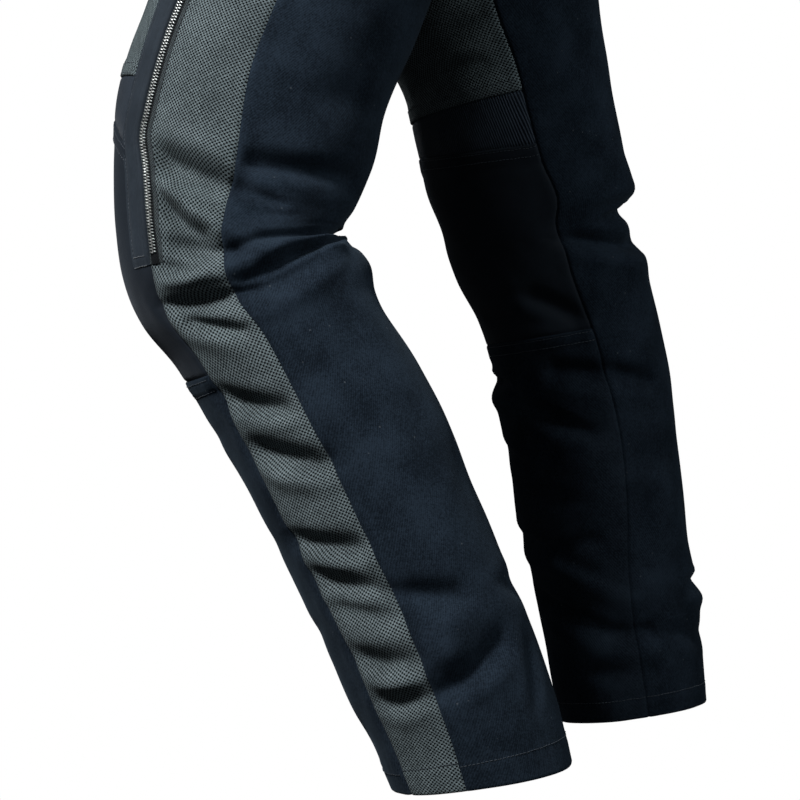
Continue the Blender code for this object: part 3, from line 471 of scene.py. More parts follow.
def cloth_surface(leg, rnd, down):
    """Outer face of the cloth with all its folds and creases, mm."""
    plain = lambda g, r, d: bare_surface(g, r, d)[0]
    points, section = bare_surface(leg, rnd, down)
    out = surface_normal(leg, rnd, down, plain)
    high = fold_height(leg, rnd, down, section) + crease_height(leg, rnd, down, section)
    high = high + slow_swell(leg, rnd, down) * np.clip((down - 20) / 60, 0, 1)
    per_degree = (section["depth"] + section["width"]) * math.pi / 2 / 360
    beside = (rnd - long_seam(leg, "mesh_edge", down)) * per_degree
    zipped = np.clip((down - ZIP_TOP + 10) / 20, 0, 1) * np.clip((ZIP_END[leg] + 12 - down) / 20, 0, 1)
    held = 0.86 * zipped * np.exp(-np.clip((np.abs(beside - 2) - 7) / 8, 0, None) ** 2)
    held = np.maximum(held, 0.50 * np.exp(-((beside / 7) ** 2)))
    beside = ((rnd - long_seam(leg, "inseam", down) + 180) % 360 - 180) * per_degree
    held = np.maximum(held, 0.50 * np.exp(-((beside / 9) ** 2)) * (down > 270))
    beside = (rnd - long_seam(leg, "outseam", down)) * per_degree
    held = np.maximum(held, 0.25 * np.exp(-((beside / 5) ** 2)))
    return points + out * (high * (1 - held))[..., None]


def long_seam(leg, seam, down):
    rows = SEAMS[leg]
    return smooth_read(down, [r.down for r in rows], [getattr(r, seam) for r in rows])


def row_down(row, rnd):
    inseam, front, side = row
    return np.interp(rnd, (-16, 0, 90, 135, 345, 360), (inseam, inseam, front, side, inseam, inseam))


def seam_round(leg, seam, down):
    """Degrees of a seam: inner_front, zip, outer or inner_back."""
    cut = np.where(down < 270, cut_angle(section_at(leg, down)), 0.0)
    if seam == "inner_front":
        return np.where(down < 270, cut, long_seam(leg, "inseam", down))
    if seam == "zip":
        return long_seam(leg, "mesh_edge", down)
    if seam == "outer":
        return long_seam(leg, "outseam", down)
    return np.where(down < 270, 360 - cut, 360 + long_seam(leg, "inseam", down))


# ================================================================ fine grids
EDGE_MM = (0.0, 0.5, 1.2, 2.2, 3.4, 5.0, 6.6, 8.2, 9.6, 11.5)
STEP_MM = 3.0
KNEE_FINE = {"l": (574, 708), "r": (586, 640)}   # rows twice as close, mm down


def run_of(length, edge=EDGE_MM, step=STEP_MM):
    """Places along a length, mm: close together at both ends."""
    middle = length - 2 * edge[-1]
    count = max(2, round(middle / step))
    return np.array(list(edge) + [edge[-1] + middle * k / count for k in range(1, count)]
                    + [length - e for e in reversed(edge)])


def along_axis(points, axis):
    """Distance run along one axis of a grid of points."""
    step = np.linalg.norm(np.diff(points, axis=axis), axis=-1)
    start = np.zeros_like(np.take(step, [0], axis=axis))
    return np.concatenate([start, np.cumsum(step, axis=axis)], axis=axis)


def unit(v):
    return v / np.maximum(np.linalg.norm(v, axis=-1, keepdims=True), 1e-9)


class Patch:
    """A grid on the leg between two long seams and two round lines."""

    def __init__(self, leg, left, right, top, bottom, step=STEP_MM, inset=EDGE_GAP / 2):
        self.leg = leg
        self.side = SIDE[leg]
        top, bottom = np.array(top, float), np.array(bottom, float)
        length = float((bottom - top).mean())
        places = run_of(length, step=step)
        places[0], places[-1] = inset, length - inset
        near, past = KNEE_FINE[leg]
        extra = [(a + b) / 2 for a, b in zip(places, places[1:])
                 if b - a > 2.3 and near < top.mean() + (a + b) / 2 < past]
        places = np.sort(np.concatenate([places, extra]))
        rows = [tuple(top + (bottom - top) * p / length) for p in places]
        downs = np.array([np.mean(r) for r in rows])
        low, high = left(downs), right(downs)
        eps = 0.6
        plain = lambda r, d: bare_surface(leg, r, d)[0]
        at_low = np.linalg.norm(plain(low + eps, downs) - plain(low, downs), axis=-1) / eps
        at_high = np.linalg.norm(plain(high, downs) - plain(high - eps, downs), axis=-1) / eps
        wide = float(np.median((high - low) * (at_low + at_high) / 2))
        template = run_of(wide, step=step)
        edge = len(EDGE_MM)
        middle = len(template) - 2 * edge
        self.rnd = np.zeros((len(rows), len(template)))
        self.down = np.zeros_like(self.rnd)
        for j, row in enumerate(rows):
            down = np.full(len(template), downs[j])
            for _ in range(3):
                a, b = left(down), right(down)
                mm = np.array(EDGE_MM)
                mm[0] = inset
                first = mm / at_low[j]
                last = mm / at_high[j]
                span = b - a
                share = np.zeros(len(template))
                share[:edge] = first / span[:edge]
                share[-edge:] = 1 - last[::-1] / span[-edge:]
                lo, hi = share[edge - 1], share[-edge]
                share[edge:-edge] = lo + (hi - lo) * (np.arange(middle) + 1) / (middle + 1)
                rnd = a + share * span
                down = row_down(row, rnd)
            self.rnd[j], self.down[j] = rnd, down
        self.base = cloth_surface(leg, self.rnd, self.down)
        self.base[..., 0] = self.side * np.maximum(self.base[..., 0] * self.side, inset)
        d_down = np.gradient(self.base, axis=0)
        d_round = np.gradient(self.base, axis=1)
        self.normal = unit(np.cross(d_down, d_round) * self.side)
        for _ in range(1):
            soft = self.normal.copy()
            soft[1:-1] = (self.normal[:-2] + 2 * self.normal[1:-1] + self.normal[2:]) / 4
            self.normal = unit(soft)
        across, length_ = along_axis(self.base, 1), along_axis(self.base, 0)
        self.from_left, self.from_right = across, across[:, -1:] - across
        self.from_top, self.from_bottom = length_, length_[-1:] - length_
        wide_rows = np.convolve(np.pad(across[:, -1], 10, mode="edge"), np.ones(21) / 21, mode="valid")
        share = (self.rnd - self.rnd[:, :1]) / (self.rnd[:, -1:] - self.rnd[:, :1])
        self.u = (share - 0.5) * wide_rows[:, None]
        self.v = self.down + 0.0
        self.high = np.zeros(self.rnd.shape)
        self.thick = np.full(self.rnd.shape, SHELL)

    def outer(self):
        points = self.base + self.normal * self.high[..., None]
        points[..., 0] = self.side * np.maximum(points[..., 0] * self.side, 0.02)
        return points

    def inner(self):
        points = self.base + self.normal * (self.high - self.thick)[..., None]
        points[..., 0] = self.side * np.maximum(points[..., 0] * self.side, 0.02)
        return points


def ease(x, low, high):
    t = np.clip((x - low) / (high - low), 0, 1)
    return t * t * (3 - 2 * t)


def pucker(along, seed, length=8.0):
    """Uneven gathers along a row of stitches, -1 to 1."""
    return (np.sin(TAU * along / length + seed) * 0.6
            + np.sin(TAU * along / (length * 1.73) + 2.3 * seed) * 0.3
            + np.sin(TAU * along / (length * 0.61) + 1.1 * seed) * 0.25)


def seam_over(d, along, seed, rows=(2.2, 9.6)):
    """The upper cloth of a lapped seam with its rows of stitches."""
    high = 0.95 * (1 - ease(d, rows[-1] + 0.6, rows[-1] + 3.6)) - 1.25 * (1 - ease(d, 0.0, 1.3)) ** 1.5
    for at in rows:
        high = high - 0.42 * np.exp(-(((d - at) / 0.8) ** 2))
    lively = np.exp(-(((d - rows[-1]) / 6.0) ** 2)) + 0.7 * np.exp(-(d / 4.0) ** 2)
    return high + 0.20 * pucker(along, seed) * lively


def seam_under(d, along, seed):
    return -0.9 * np.exp(-((d / 1.6) ** 2)) + 0.16 * pucker(along, seed) * np.exp(-(d / 7.0) ** 2)


def seam_plain(d, along, seed, rise=0.35):
    """One side of a seam pressed open: a groove, and the allowance below it."""
    return (-1.15 * np.exp(-((d / 1.0) ** 2)) + rise * np.exp(-(((d - 5.0) / 4.0) ** 2))
            + 0.14 * pucker(along, seed, 10.0) * np.exp(-(d / 8.0) ** 2))


# =================================================================== meshes
def shell_mesh(name, outer, inner, u, v, flip=False):
    """A closed thin shell from an outer and an inner grid of points, mm."""
    rows, cols = outer.shape[:2]
    n = rows * cols
    coords = np.concatenate([outer.reshape(-1, 3), inner.reshape(-1, 3)]) * MM
    j, i = np.meshgrid(np.arange(rows - 1), np.arange(cols - 1), indexing="ij")
    a = (j * cols + i).ravel()
    top = np.stack([a, a + 1, a + cols + 1, a + cols], axis=1)
    low = top[:, ::-1] + n
    ring = np.concatenate([
        np.arange(cols),
        np.arange(1, rows) * cols + cols - 1,
        (rows - 1) * cols + np.arange(cols - 2, -1, -1),
        np.arange(rows - 2, 0, -1) * cols,
    ])
    nxt = np.roll(ring, -1)
    rim = np.stack([nxt, ring, ring + n, nxt + n], axis=1)
    faces = np.concatenate([top, low, rim])
    if flip:
        faces = faces[:, ::-1]
    # outward check on the middle of the outer face
    mid = faces[(len(top) // 2) + (cols - 1) // 2]
    p = coords[mid]
    face_normal = np.cross(p[1] - p[0], p[2] - p[0])
    span = coords[mid[0]] - coords[(mid[0] + n) % (2 * n)]
    if np.dot(face_normal, span) < 0:
        faces = faces[:, ::-1]
    mesh = bpy.data.meshes.new(name)
    mesh.vertices.add(len(coords))
    mesh.vertices.foreach_set("co", coords.astype(np.float32).ravel())
    mesh.loops.add(faces.size)
    mesh.loops.foreach_set("vertex_index", faces.astype(np.int32).ravel())
    mesh.polygons.add(len(faces))
    mesh.polygons.foreach_set("loop_start", np.arange(0, faces.size, 4, dtype=np.int32))
    mesh.update(calc_edges=True)
    layer = mesh.uv_layers.new(name="cloth")
    flat = np.stack([np.concatenate([u.ravel(), u.ravel()]), np.concatenate([v.ravel(), v.ravel()])], axis=1) * MM
    layer.data.foreach_set("uv", flat[faces.ravel()].astype(np.float32).ravel())
    mesh.validate()
    mesh.shade_smooth()
    mesh.set_sharp_from_angle(angle=math.radians(58))
    return mesh


def plain_mesh(name, coords, faces, smooth=60):
    mesh = bpy.data.meshes.new(name)
    mesh.from_pydata(coords, [], faces)
    mesh.validate()
    mesh.shade_smooth()
    mesh.set_sharp_from_angle(angle=math.radians(smooth))
    return mesh


def put(name, mesh, material, body="trousers", replaces=()):
    obj = bpy.data.objects.new(name, mesh)
    bpy.context.scene.collection.objects.link(obj)
    for m in material if isinstance(material, (list, tuple)) else [material]:
        mesh.materials.append(m)
    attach(obj, body)
    if replaces:
        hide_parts(*replaces)
    return obj


def resample(path, spacing):
    """Points and running length along a path at an even spacing."""
    step = np.linalg.norm(np.diff(path, axis=0), axis=1)
    run = np.concatenate([[0], np.cumsum(step)])
    at = np.arange(0, run[-1], spacing)
    return at, run


def read_path(path, run, at):
    return np.stack([np.interp(at, run, path[:, k]) for k in range(path.shape[1])], axis=1)


class Threads:
    """Stitches laid along rows, joined in one mesh."""

    def __init__(self):
        self.coords, self.faces, self.count = [], [], 0

    def row(self, path, normals, pitch=STITCH, long=STITCH_LONG, radius=THREAD, lift=0.10, skip=0.0):
        step = np.linalg.norm(np.diff(path, axis=0), axis=1)
        run = np.concatenate([[0], np.cumsum(step)])
        starts = np.arange(skip, run[-1] - long, pitch)
        if len(starts) == 0:
            return
        wobble = 0.10 * np.sin(starts * 1.7) + 0.08 * np.sin(starts * 0.53 + 1)
        sides = 5
        rings = ((0.0, 0.45, -0.30), (0.18, 0.95, 0.05), (0.5, 1.0, 0.20), (0.82, 0.95, 0.05), (1.0, 0.45, -0.30))
        normals = unit(normals)
        for k, s in enumerate(starts):
            mid = read_path(path, run, np.array([s, s + long]))
            along = unit(mid[1] - mid[0])
            out = unit(read_path(normals, run, np.array([s + long / 2]))[0])
            across = unit(np.cross(along, out))
            for share, size, up in rings:
                centre = read_path(path, run, np.array([s + share * long]))[0]
                centre = centre + out * (lift + up * radius + radius * 0.4) + across * wobble[k]
                for q in range(sides):
                    ang = TAU * q / sides
                    self.coords.append((centre + (across * math.cos(ang) * 1.15 + out * math.sin(ang) * 0.85) * radius * size) * MM)
            base = self.count
            for r in range(len(rings) - 1):
                for q in range(sides):
                    n = (q + 1) % sides
                    self.faces.append((base + r * sides + q, base + r * sides + n,
                                       base + (r + 1) * sides + n, base + (r + 1) * sides + q))
            self.faces.append(tuple(base + q for q in range(sides))[::-1])
            self.faces.append(tuple(base + (len(rings) - 1) * sides + q for q in range(sides)))
            self.count += len(rings) * sides

    def mesh(self, name):
        mesh = bpy.data.meshes.new(name)
        mesh.from_pydata(self.coords, [], self.faces)
        work = bmesh.new()
        work.from_mesh(mesh)
        bmesh.ops.recalc_face_normals(work, faces=work.faces)
        work.to_mesh(mesh)
        work.free()
        mesh.shade_smooth()
        return mesh


# ================================================================ materials
class Look:
    """A node material, built a few nodes at a time."""

    def __init__(self, name):
        self.material = bpy.data.materials.new(name)
        self.material.use_nodes = True
        self.tree = self.material.node_tree
        self.shader = self.tree.nodes["Principled BSDF"]

    def node(self, kind, **settings):
        made = self.tree.nodes.new(kind)
        for key, value in settings.items():
            setattr(made, key, value)
        return made

    def feed(self, socket, value):
        if isinstance(value, bpy.types.NodeSocket):
            self.tree.links.new(value, socket)
        elif isinstance(value, (tuple, list)) and len(value) == 3 and socket.type == "RGBA":
            socket.default_value = (*value, 1.0)
        else:
            socket.default_value = value

    def math(self, operation, a, b=None, c=None, clamp=False):
        made = self.node("ShaderNodeMath", operation=operation, use_clamp=clamp)
        for socket, value in zip(made.inputs, (a, b, c)):
            if value is not None:
                self.feed(socket, value)
        return made.outputs[0]

    def uv(self):
        made = self.node("ShaderNodeUVMap", uv_map="cloth")
        split = self.node("ShaderNodeSeparateXYZ")
        self.tree.links.new(made.outputs[0], split.inputs[0])
        return made.outputs[0], split.outputs[0], split.outputs[1]

    def place(self):
        return self.node("ShaderNodeTexCoord").outputs["Object"]

    def noise(self, vector, scale, detail=2.0, rough=0.5, distort=0.0):
        made = self.node("ShaderNodeTexNoise")
        self.feed(made.inputs["Vector"], vector)
        made.inputs["Scale"].default_value = scale
        made.inputs["Detail"].default_value = detail
        made.inputs["Roughness"].default_value = rough
        made.inputs["Distortion"].default_value = distort
        return made.outputs["Fac"]

    def cells(self, vector, scale, jitter=1.0):
        made = self.node("ShaderNodeTexVoronoi")
        self.feed(made.inputs["Vector"], vector)
        made.inputs["Scale"].default_value = scale
        made.inputs["Randomness"].default_value = jitter
        return made.outputs["Distance"], made.outputs["Color"]

    def steps(self, value, low, high, out_low=0.0, out_high=1.0):
        made = self.node("ShaderNodeMapRange", interpolation_type="SMOOTHSTEP")
        self.feed(made.inputs["Value"], value)
        for key, number in (("From Min", low), ("From Max", high), ("To Min", out_low), ("To Max", out_high)):
            made.inputs[key].default_value = number
        return made.outputs["Result"]

    def mix(self, share, a, b):
        made = self.node("ShaderNodeMix", data_type="RGBA")
        self.feed(made.inputs[0], share)
        self.feed(made.inputs[6], a)
        self.feed(made.inputs[7], b)
        return made.outputs[2]

    def wave(self, value, pitch, phase=0.0):
        """cos of a coordinate in metres with a pitch in metres."""
        return self.math("COSINE", self.math("MULTIPLY_ADD", value, TAU / pitch, phase))

    def bump(self, height, distance, strength=1.0, under=None):
        made = self.node("ShaderNodeBump")
        made.inputs["Strength"].default_value = strength
        made.inputs["Distance"].default_value = distance
        self.feed(made.inputs["Height"], height)
        if under is not None:
            self.feed(made.inputs["Normal"], under)
        return made.outputs["Normal"]

    def finish(self, colour, rough, normal=None, metal=0.0, specular=0.2, sheen=0.0, sheen_tint=(1, 1, 1), sheen_rough=0.5):
        self.feed(self.shader.inputs["Base Color"], colour)
        self.feed(self.shader.inputs["Roughness"], rough)
        self.shader.inputs["Metallic"].default_value = metal
        self.shader.inputs["Specular IOR Level"].default_value = specular
        if sheen:
            self.shader.inputs["Sheen Weight"].default_value = sheen
            self.shader.inputs["Sheen Roughness"].default_value = sheen_rough
            self.shader.inputs["Sheen Tint"].default_value = (*sheen_tint, 1)
        if normal is not None:
            self.feed(self.shader.inputs["Normal"], normal)
        return self.material


def nap_cloth(name, dark, light, lint=0.35, twill=0.0016):
    """Brushed fine twill: soft mottle, a faint diagonal, lint."""
    look = Look(name)
    uv, x, y = look.uv()
    place = look.place()
    mottle = look.noise(place, 26.0, 3.0, 0.6)
    fine = look.noise(place, 620.0, 2.5, 0.7)
    fibre = look.noise(place, 1500.0, 1.0, 0.5)
    slant = look.math("ADD", look.math("MULTIPLY", x, 0.87), look.math("MULTIPLY", y, 0.5))
    rib = look.wave(slant, twill)
    tone = look.math("ADD", look.math("MULTIPLY", mottle, 0.45), look.math("MULTIPLY", fine, 0.55))
    tone = look.math("MULTIPLY_ADD", rib, 0.045, tone)
    share = look.steps(tone, 0.32, 0.68)
    base = look.mix(share, dark, light)
    far, colour = look.cells(place, 230.0)
    pick = look.node("ShaderNodeSeparateColor")
    look.tree.links.new(colour, pick.inputs[0])
    chosen = look.steps(pick.outputs[0], 0.965, 0.972)
    dot = look.steps(far, 0.10, 0.20, 1.0, 0.0)
    speck = look.math("MULTIPLY", look.math("MULTIPLY", chosen, dot), lint)
    base = look.mix(speck, base, (0.10, 0.11, 0.12))
    low = look.bump(fibre, 0.00012, 0.35)
    low = look.bump(fine, 0.00028, 0.5, low)
    normal = look.bump(rib, 0.00007, 0.25, low)
    return look.finish(base, look.steps(fine, 0.2, 0.8, 0.82, 0.96), normal,
                       specular=0.05, sheen=0.04, sheen_tint=(0.6, 0.8, 1.0), sheen_rough=0.5)


def mesh_cloth(name, hole, yarn, bright, pitch=0.00284, tall=0.00284, slope=0.07, band=None):
    """Coarse open mesh: staggered holes painted near black as the shade seen through them, between pale yarns."""
    look = Look(name)
    uv, x, y = look.uv()
    place = look.place()
    if slope:
        x, y = (look.math("MULTIPLY_ADD", y, slope, x),
                look.math("MULTIPLY_ADD", x, -slope, y))
    drift = look.math("MULTIPLY_ADD", look.noise(place, 110.0, 2.0), 0.0012, 0.0)
    x = look.math("ADD", x, drift)
    a, b = look.wave(x, pitch), look.wave(y, tall)
    lattice = look.math("MULTIPLY", a, b)
    open_ = look.steps(lattice, -0.20, 0.38)
    broad = look.noise(place, 34.0, 3.0, 0.6)
    yarns = look.noise(place, 900.0, 2.0, 0.7)
    share = look.steps(look.math("MULTIPLY_ADD", yarns, 0.7, look.math("MULTIPLY", broad, 0.3)), 0.34, 0.66)
    cloth = look.mix(share, yarn, bright)
    # painted shade: the holes take a near-black colour for the shade inside the openings
    base = look.mix(open_, cloth, hole)
    if band:
        # painted shadow: the strip under the chain is darkened for the shade of the teeth
        off = look.math("ABSOLUTE", look.math("SUBTRACT", look.uv()[1], band[0]))
        base = look.mix(look.steps(off, band[1], band[1] + 0.0008), (0.004, 0.005, 0.006), base)
    raised = look.math("SUBTRACT", 1.0, look.steps(lattice, -0.4, 0.8))
    normal = look.bump(yarns, 0.0001, 0.4)
    normal = look.bump(raised, 0.0003, 0.45, normal)
    return look.finish(base, look.steps(open_, 0.0, 1.0, 0.72, 0.95), normal,
                       specular=0.12, sheen=0.02)


def rib_cloth(name, dark, light, pitch=0.0019):
    """Stretch cloth with narrow slanting ribs."""
    look = Look(name)
    uv, x, y = look.uv()
    place = look.place()
    slant = look.math("MULTIPLY_ADD", y, 0.14, x)
    rib = look.wave(slant, pitch)
    fine = look.noise(place, 700.0, 2.0, 0.6)
    broad = look.noise(place, 30.0, 3.0, 0.6)
    tone = look.math("MULTIPLY_ADD", rib, 0.34, look.math("MULTIPLY_ADD", fine, 0.35, look.math("MULTIPLY", broad, 0.65)))
    base = look.mix(look.steps(tone, 0.15, 0.85), dark, light)
    normal = look.bump(fine, 0.0002, 0.4)
    normal = look.bump(rib, 0.0004, 0.7, normal)
    return look.finish(base, 0.85, normal, specular=0.15, sheen=0.05)


def shell_cloth(name, dark, light):
    """Smooth close weave with a slight sheen."""
    look = Look(name)
    uv, x, y = look.uv()
    place = look.place()
    weft, warp = look.wave(x, 0.0009), look.wave(y, 0.0009)
    weave = look.math("MULTIPLY", weft, warp)
    fine = look.noise(place, 520.0, 2.0, 0.6)
    broad = look.noise(place, 22.0, 3.0, 0.6)
    tone = look.math("MULTIPLY_ADD", fine, 0.4, look.math("MULTIPLY", broad, 0.6))
    base = look.mix(look.steps(tone, 0.3, 0.7), dark, light)
    normal = look.bump(fine, 0.0002, 0.35)
    normal = look.bump(weave, 0.0001, 0.35, normal)
    return look.finish(base, look.steps(fine, 0.2, 0.8, 0.72, 0.86), normal, specular=0.16, sheen=0.06,
                       sheen_tint=(0.8, 0.88, 1.0))


def metal_look(name, dark, light, rough_low, rough_high, scale=260.0):
    """Cast or plated metal with a blotchy tone and fine scratches."""
    look = Look(name)
    place = look.place()
    blotch = look.noise(place, scale, 3.0, 0.6)
    fine = look.noise(place, scale * 9, 2.0, 0.6)
    base = look.mix(look.steps(blotch, 0.3, 0.7), dark, light)
    normal = look.bump(fine, 0.00004, 0.4)
    return look.finish(base, look.steps(fine, 0.25, 0.75, rough_low, rough_high), normal, metal=1.0, specular=0.5)


def thread_look(name, dark, light):
    look = Look(name)
    place = look.place()
    twist = look.noise(place, 2600.0, 2.0, 0.6)
    tone = look.noise(place, 40.0, 2.0)
    base = look.mix(look.steps(look.math("MULTIPLY_ADD", twist, 0.5, look.math("MULTIPLY", tone, 0.5)), 0.35, 0.65), dark, light)
    return look.finish(base, 0.6, look.bump(twist, 0.00012, 0.6), specular=0.3, sheen=0.1)


NAP = nap_cloth("nap_cloth_look", (0.0028, 0.0050, 0.0084), (0.0150, 0.0232, 0.0350))
NAP_FRONT = nap_cloth("nap_front_look", (0.0032, 0.0054, 0.0088), (0.0155, 0.0230, 0.0335), lint=0.35)
# coarse mesh: the first colour is painted shade for the holes
MESH = mesh_cloth("coarse_mesh_look", (0.0010, 0.0017, 0.0021), (0.052, 0.066, 0.071), (0.150, 0.184, 0.194))
RIBBED = rib_cloth("ribbed_look", (0.0040, 0.0070, 0.0125), (0.026, 0.036, 0.050))
SMOOTH = shell_cloth("smooth_shell_look", (0.0028, 0.0052, 0.0092), (0.0065, 0.0105, 0.0165))
FACING = shell_cloth("facing_look", (0.0085, 0.0125, 0.0180), (0.0190, 0.0260, 0.0350))
# tape: the first colour is painted shade in the holes, and band paints the teeth's shadow on the strip under the chain
TAPE = mesh_cloth("tape_look", (0.0035, 0.0045, 0.005), (0.026, 0.033, 0.036), (0.060, 0.073, 0.077), pitch=0.0017, tall=0.0017, band=(CHAIN_AT * MM, 0.0029))
TEETH = metal_look("tooth_look", (0.34, 0.345, 0.335), (0.80, 0.81, 0.79), 0.28, 0.45)
GUN = metal_look("gun_metal_look", (0.05, 0.05, 0.053), (0.16, 0.16, 0.165), 0.28, 0.48)
THREAD_DARK = thread_look("thread_dark_look", (0.012, 0.017, 0.024), (0.045, 0.056, 0.070))
THREAD_PALE = thread_look("thread_pale_look", (0.05, 0.055, 0.06), (0.17, 0.18, 0.19))


# =================================================================== panels
def edge_stitches(threads, patch, column=None, row=None, span=None, **kind):
    """A row of stitches along one column or row of a patch's grid."""
    points, normals = patch.outer(), patch.normal
    if column is not None:
        line, out = points[:, column], normals[:, column]
    else:
        line, out = points[row], normals[row]
    if span is not None:
        line, out = line[span], out[span]
    threads.row(line, out, **kind)


def make_panel(name, leg, patch, look, flat, area, held="stretched"):
    mesh = shell_mesh(f"{name}_{leg}_cloth", patch.outer(), patch.inner(), patch.u, patch.v)
    obj = put(f"{name}_{leg}_cloth", mesh, look, replaces=[f"{name}_{leg}"])
    size = (float(patch.from_left[:, -1].max()), float(patch.from_top[-1].max()))
    return obj, size


legs = {}
for leg in ("l", "r"):
    lines = LINES[leg]
    left = {s: (lambda d, s=s: seam_round(leg, s, d)) for s in ("inner_front", "zip", "outer", "inner_back")}
    threads = Threads()
    pale = Threads()
    seed = 0.7 if leg == "l" else 2.9
    fronts = (
        ("front_thigh", "waist", "yoke", MESH, "coarse_mesh"),
        ("stretch_panel", "yoke", "knee_top", RIBBED, "ribbed_stretch"),
        ("knee_panel", "knee_top", "knee_base", SMOOTH, "smooth_shell"),
        ("shin_panel", "knee_base", "hem", NAP_FRONT, "nap_cloth"),
    )
    patches = {}
    for name, top, bottom, look, slot in fronts:
        patch = Patch(leg, left["inner_front"], left["zip"], lines[top], lines[bottom])
        along, wide = patch.from_top, patch.from_left
        high = seam_plain(patch.from_left, patch.v + patch.down, seed)
        zipped = ease(patch.down, ZIP_TOP - 6, ZIP_TOP) * (1 - ease(patch.down, ZIP_END[leg] - 4, ZIP_END[leg] + 4))
        edge_high = seam_plain(patch.from_right, patch.down, seed + 1)
        high = high + edge_high
        rounds = patch.u + 500
        if top == "waist":
            high = high + seam_under(patch.from_top, rounds, seed)
        if top == "yoke":
            high = high + seam_under(patch.from_top, rounds, seed)
        if top in ("knee_top", "knee_base"):
            high = high + seam_over(patch.from_top, rounds, seed)
        if bottom == "yoke":
            high = high + seam_over(patch.from_bottom, rounds, seed + 2)
        if bottom == "knee_top":
            high = high + seam_under(patch.from_bottom, rounds, seed)
        if bottom == "knee_base":
            high = high + seam_under(patch.from_bottom, rounds, seed)
        if bottom == "hem":
            turn = 1 - ease(patch.from_bottom, HEM_TURN - 1.0, HEM_TURN + 1.5)
            high = high + 0.5 * turn - 0.45 * np.exp(-(((patch.from_bottom - HEM_TURN + 2) / 1.0) ** 2))
            high = high + 0.28 * pucker(rounds, seed, 11.0) * np.exp(-(((patch.from_bottom - HEM_TURN) / 9.0) ** 2))
            high = high - 0.6 * (1 - ease(patch.from_bottom, 0, 1.2))
            patch.thick = SHELL + 1.1 * turn
        # the cloth lies flat under the facing
        under = zipped * (1 - ease(patch.from_right, FACING_WIDE - 1, FACING_WIDE + 3))
        high = high * (1 - under) - 0.15 * under
        patch.high = high
        patches[name] = patch
        obj, size = make_panel(name, leg, patch, look, None, None)
        patch.outer()

    patch = Patch(leg, left["zip"], left["outer"], lines["waist"], lines["hem"])
    zipped = ease(patch.down, ZIP_TOP - 6, ZIP_TOP) * (1 - ease(patch.down, ZIP_END[leg] - 4, ZIP_END[leg] + 4))
    high = seam_plain(patch.from_left, patch.down, seed + 1) * (1 - zipped)
    high = high + seam_under(patch.from_right, patch.down, seed + 4) + seam_under(patch.from_top, patch.u, seed)
    turn = 1 - ease(patch.from_bottom, HEM_TURN - 1.0, HEM_TURN + 1.5)
    high = high + 0.5 * turn - 0.45 * np.exp(-(((patch.from_bottom - HEM_TURN + 2) / 1.0) ** 2))
    high = high - 0.6 * (1 - ease(patch.from_bottom, 0, 1.2))
    high = high + 0.28 * pucker(patch.u, seed + 5, 11.0) * np.exp(-(((patch.from_bottom - HEM_TURN) / 9.0) ** 2))
    under = zipped * (1 - ease(patch.from_left, TAPE_WIDE, TAPE_WIDE + 2))
    patch.high = high * (1 - under) - 0.1 * under
    patch.thick = SHELL + 1.1 * turn
    patches["side_mesh"] = patch
    obj, size = make_panel("side_mesh", leg, patch, MESH, None, None)
    patch.outer()

    patch = Patch(leg, left["outer"], left["inner_back"], lines["waist"], lines["hem"])
    high = seam_plain(patch.from_left, patch.down, seed + 4, 0.7) + seam_under(patch.from_top, patch.u, seed)
    high = high + seam_plain(patch.from_right, patch.down, seed)
    rise = 1 - ease(patch.down, 250, 270)
    high = high * (1 - rise * (patch.from_right < 14)) + rise * (patch.from_right < 14) * seam_over(patch.from_right, patch.down, seed)
    turn = 1 - ease(patch.from_bottom, HEM_TURN - 1.0, HEM_TURN + 1.5)
    high = high + 0.5 * turn - 0.45 * np.exp(-(((patch.from_bottom - HEM_TURN + 2) / 1.0) ** 2))
    high = high - 0.6 * (1 - ease(patch.from_bottom, 0, 1.2))
    high = high + 0.28 * pucker(patch.u, seed + 6, 11.0) * np.exp(-(((patch.from_bottom - HEM_TURN) / 9.0) ** 2))
    patch.high = high
    patch.thick = SHELL + 1.1 * turn
    patches["back_panel"] = patch
    obj, size = make_panel("back_panel", leg, patch, NAP, None, None)
    patch.outer()

    # rows of stitches: the columns and rows of the grids that stand on the seams
    EDGE_INDEX = {mm: k for k, mm in enumerate(EDGE_MM)}
    for name, where in (("front_thigh", "bottom"), ("knee_panel", "top"), ("shin_panel", "top")):
        p = patches[name]
        keep = slice(2, -14) if name == "front_thigh" else slice(2, -3)
        for mm in (2.2, 9.6):
            k = EDGE_INDEX[mm]
            edge_stitches(threads, p, row=k if where == "top" else -1 - k, span=keep)
    for name in ("shin_panel", "side_mesh", "back_panel"):
        p = patches[name]
        k = int(np.argmin(np.abs(p.from_bottom[:, 5] - (HEM_TURN - 2))))
        edge_stitches(threads, p, row=k, span=slice(1, -1))
    back = patches["back_panel"]
    rise_rows = np.where(back.down[:, -5] < 262)[0]
    if leg == "l":
        for mm in (2.2, 9.6):
            edge_stitches(threads, back, column=-1 - EDGE_INDEX[mm], span=slice(2, rise_rows[-1]))
    legs[leg] = (patches, threads, pale)


# =========================================================== zips and facings
def strip_patch(leg, from_mm, to_mm, top, bottom, count, edge_round, step=3.0):
    """A narrow grid beside the zip line. Minus mm is in front of it."""
    places = np.arange(top, bottom + 0.01, step)
    across = np.linspace(0, 1, count)
    edge = edge_round(places)
    plain = lambda r, d: cloth_surface(leg, r, d)
    metric = np.linalg.norm(plain(edge + 0.5, places) - plain(edge - 0.5, places), axis=-1)
    metric = np.convolve(np.pad(metric, 6, mode="edge"), np.ones(13) / 13, mode="valid")
    mm = from_mm + (to_mm - from_mm) * across
    rnd = edge[:, None] + mm[None, :] / metric[:, None]
    down = np.repeat(places[:, None], count, axis=1)
    points = cloth_surface(leg, rnd, down)
    normal = unit(np.cross(np.gradient(points, axis=0), np.gradient(points, axis=1)) * SIDE[leg])
    return points, normal, mm, rnd, down


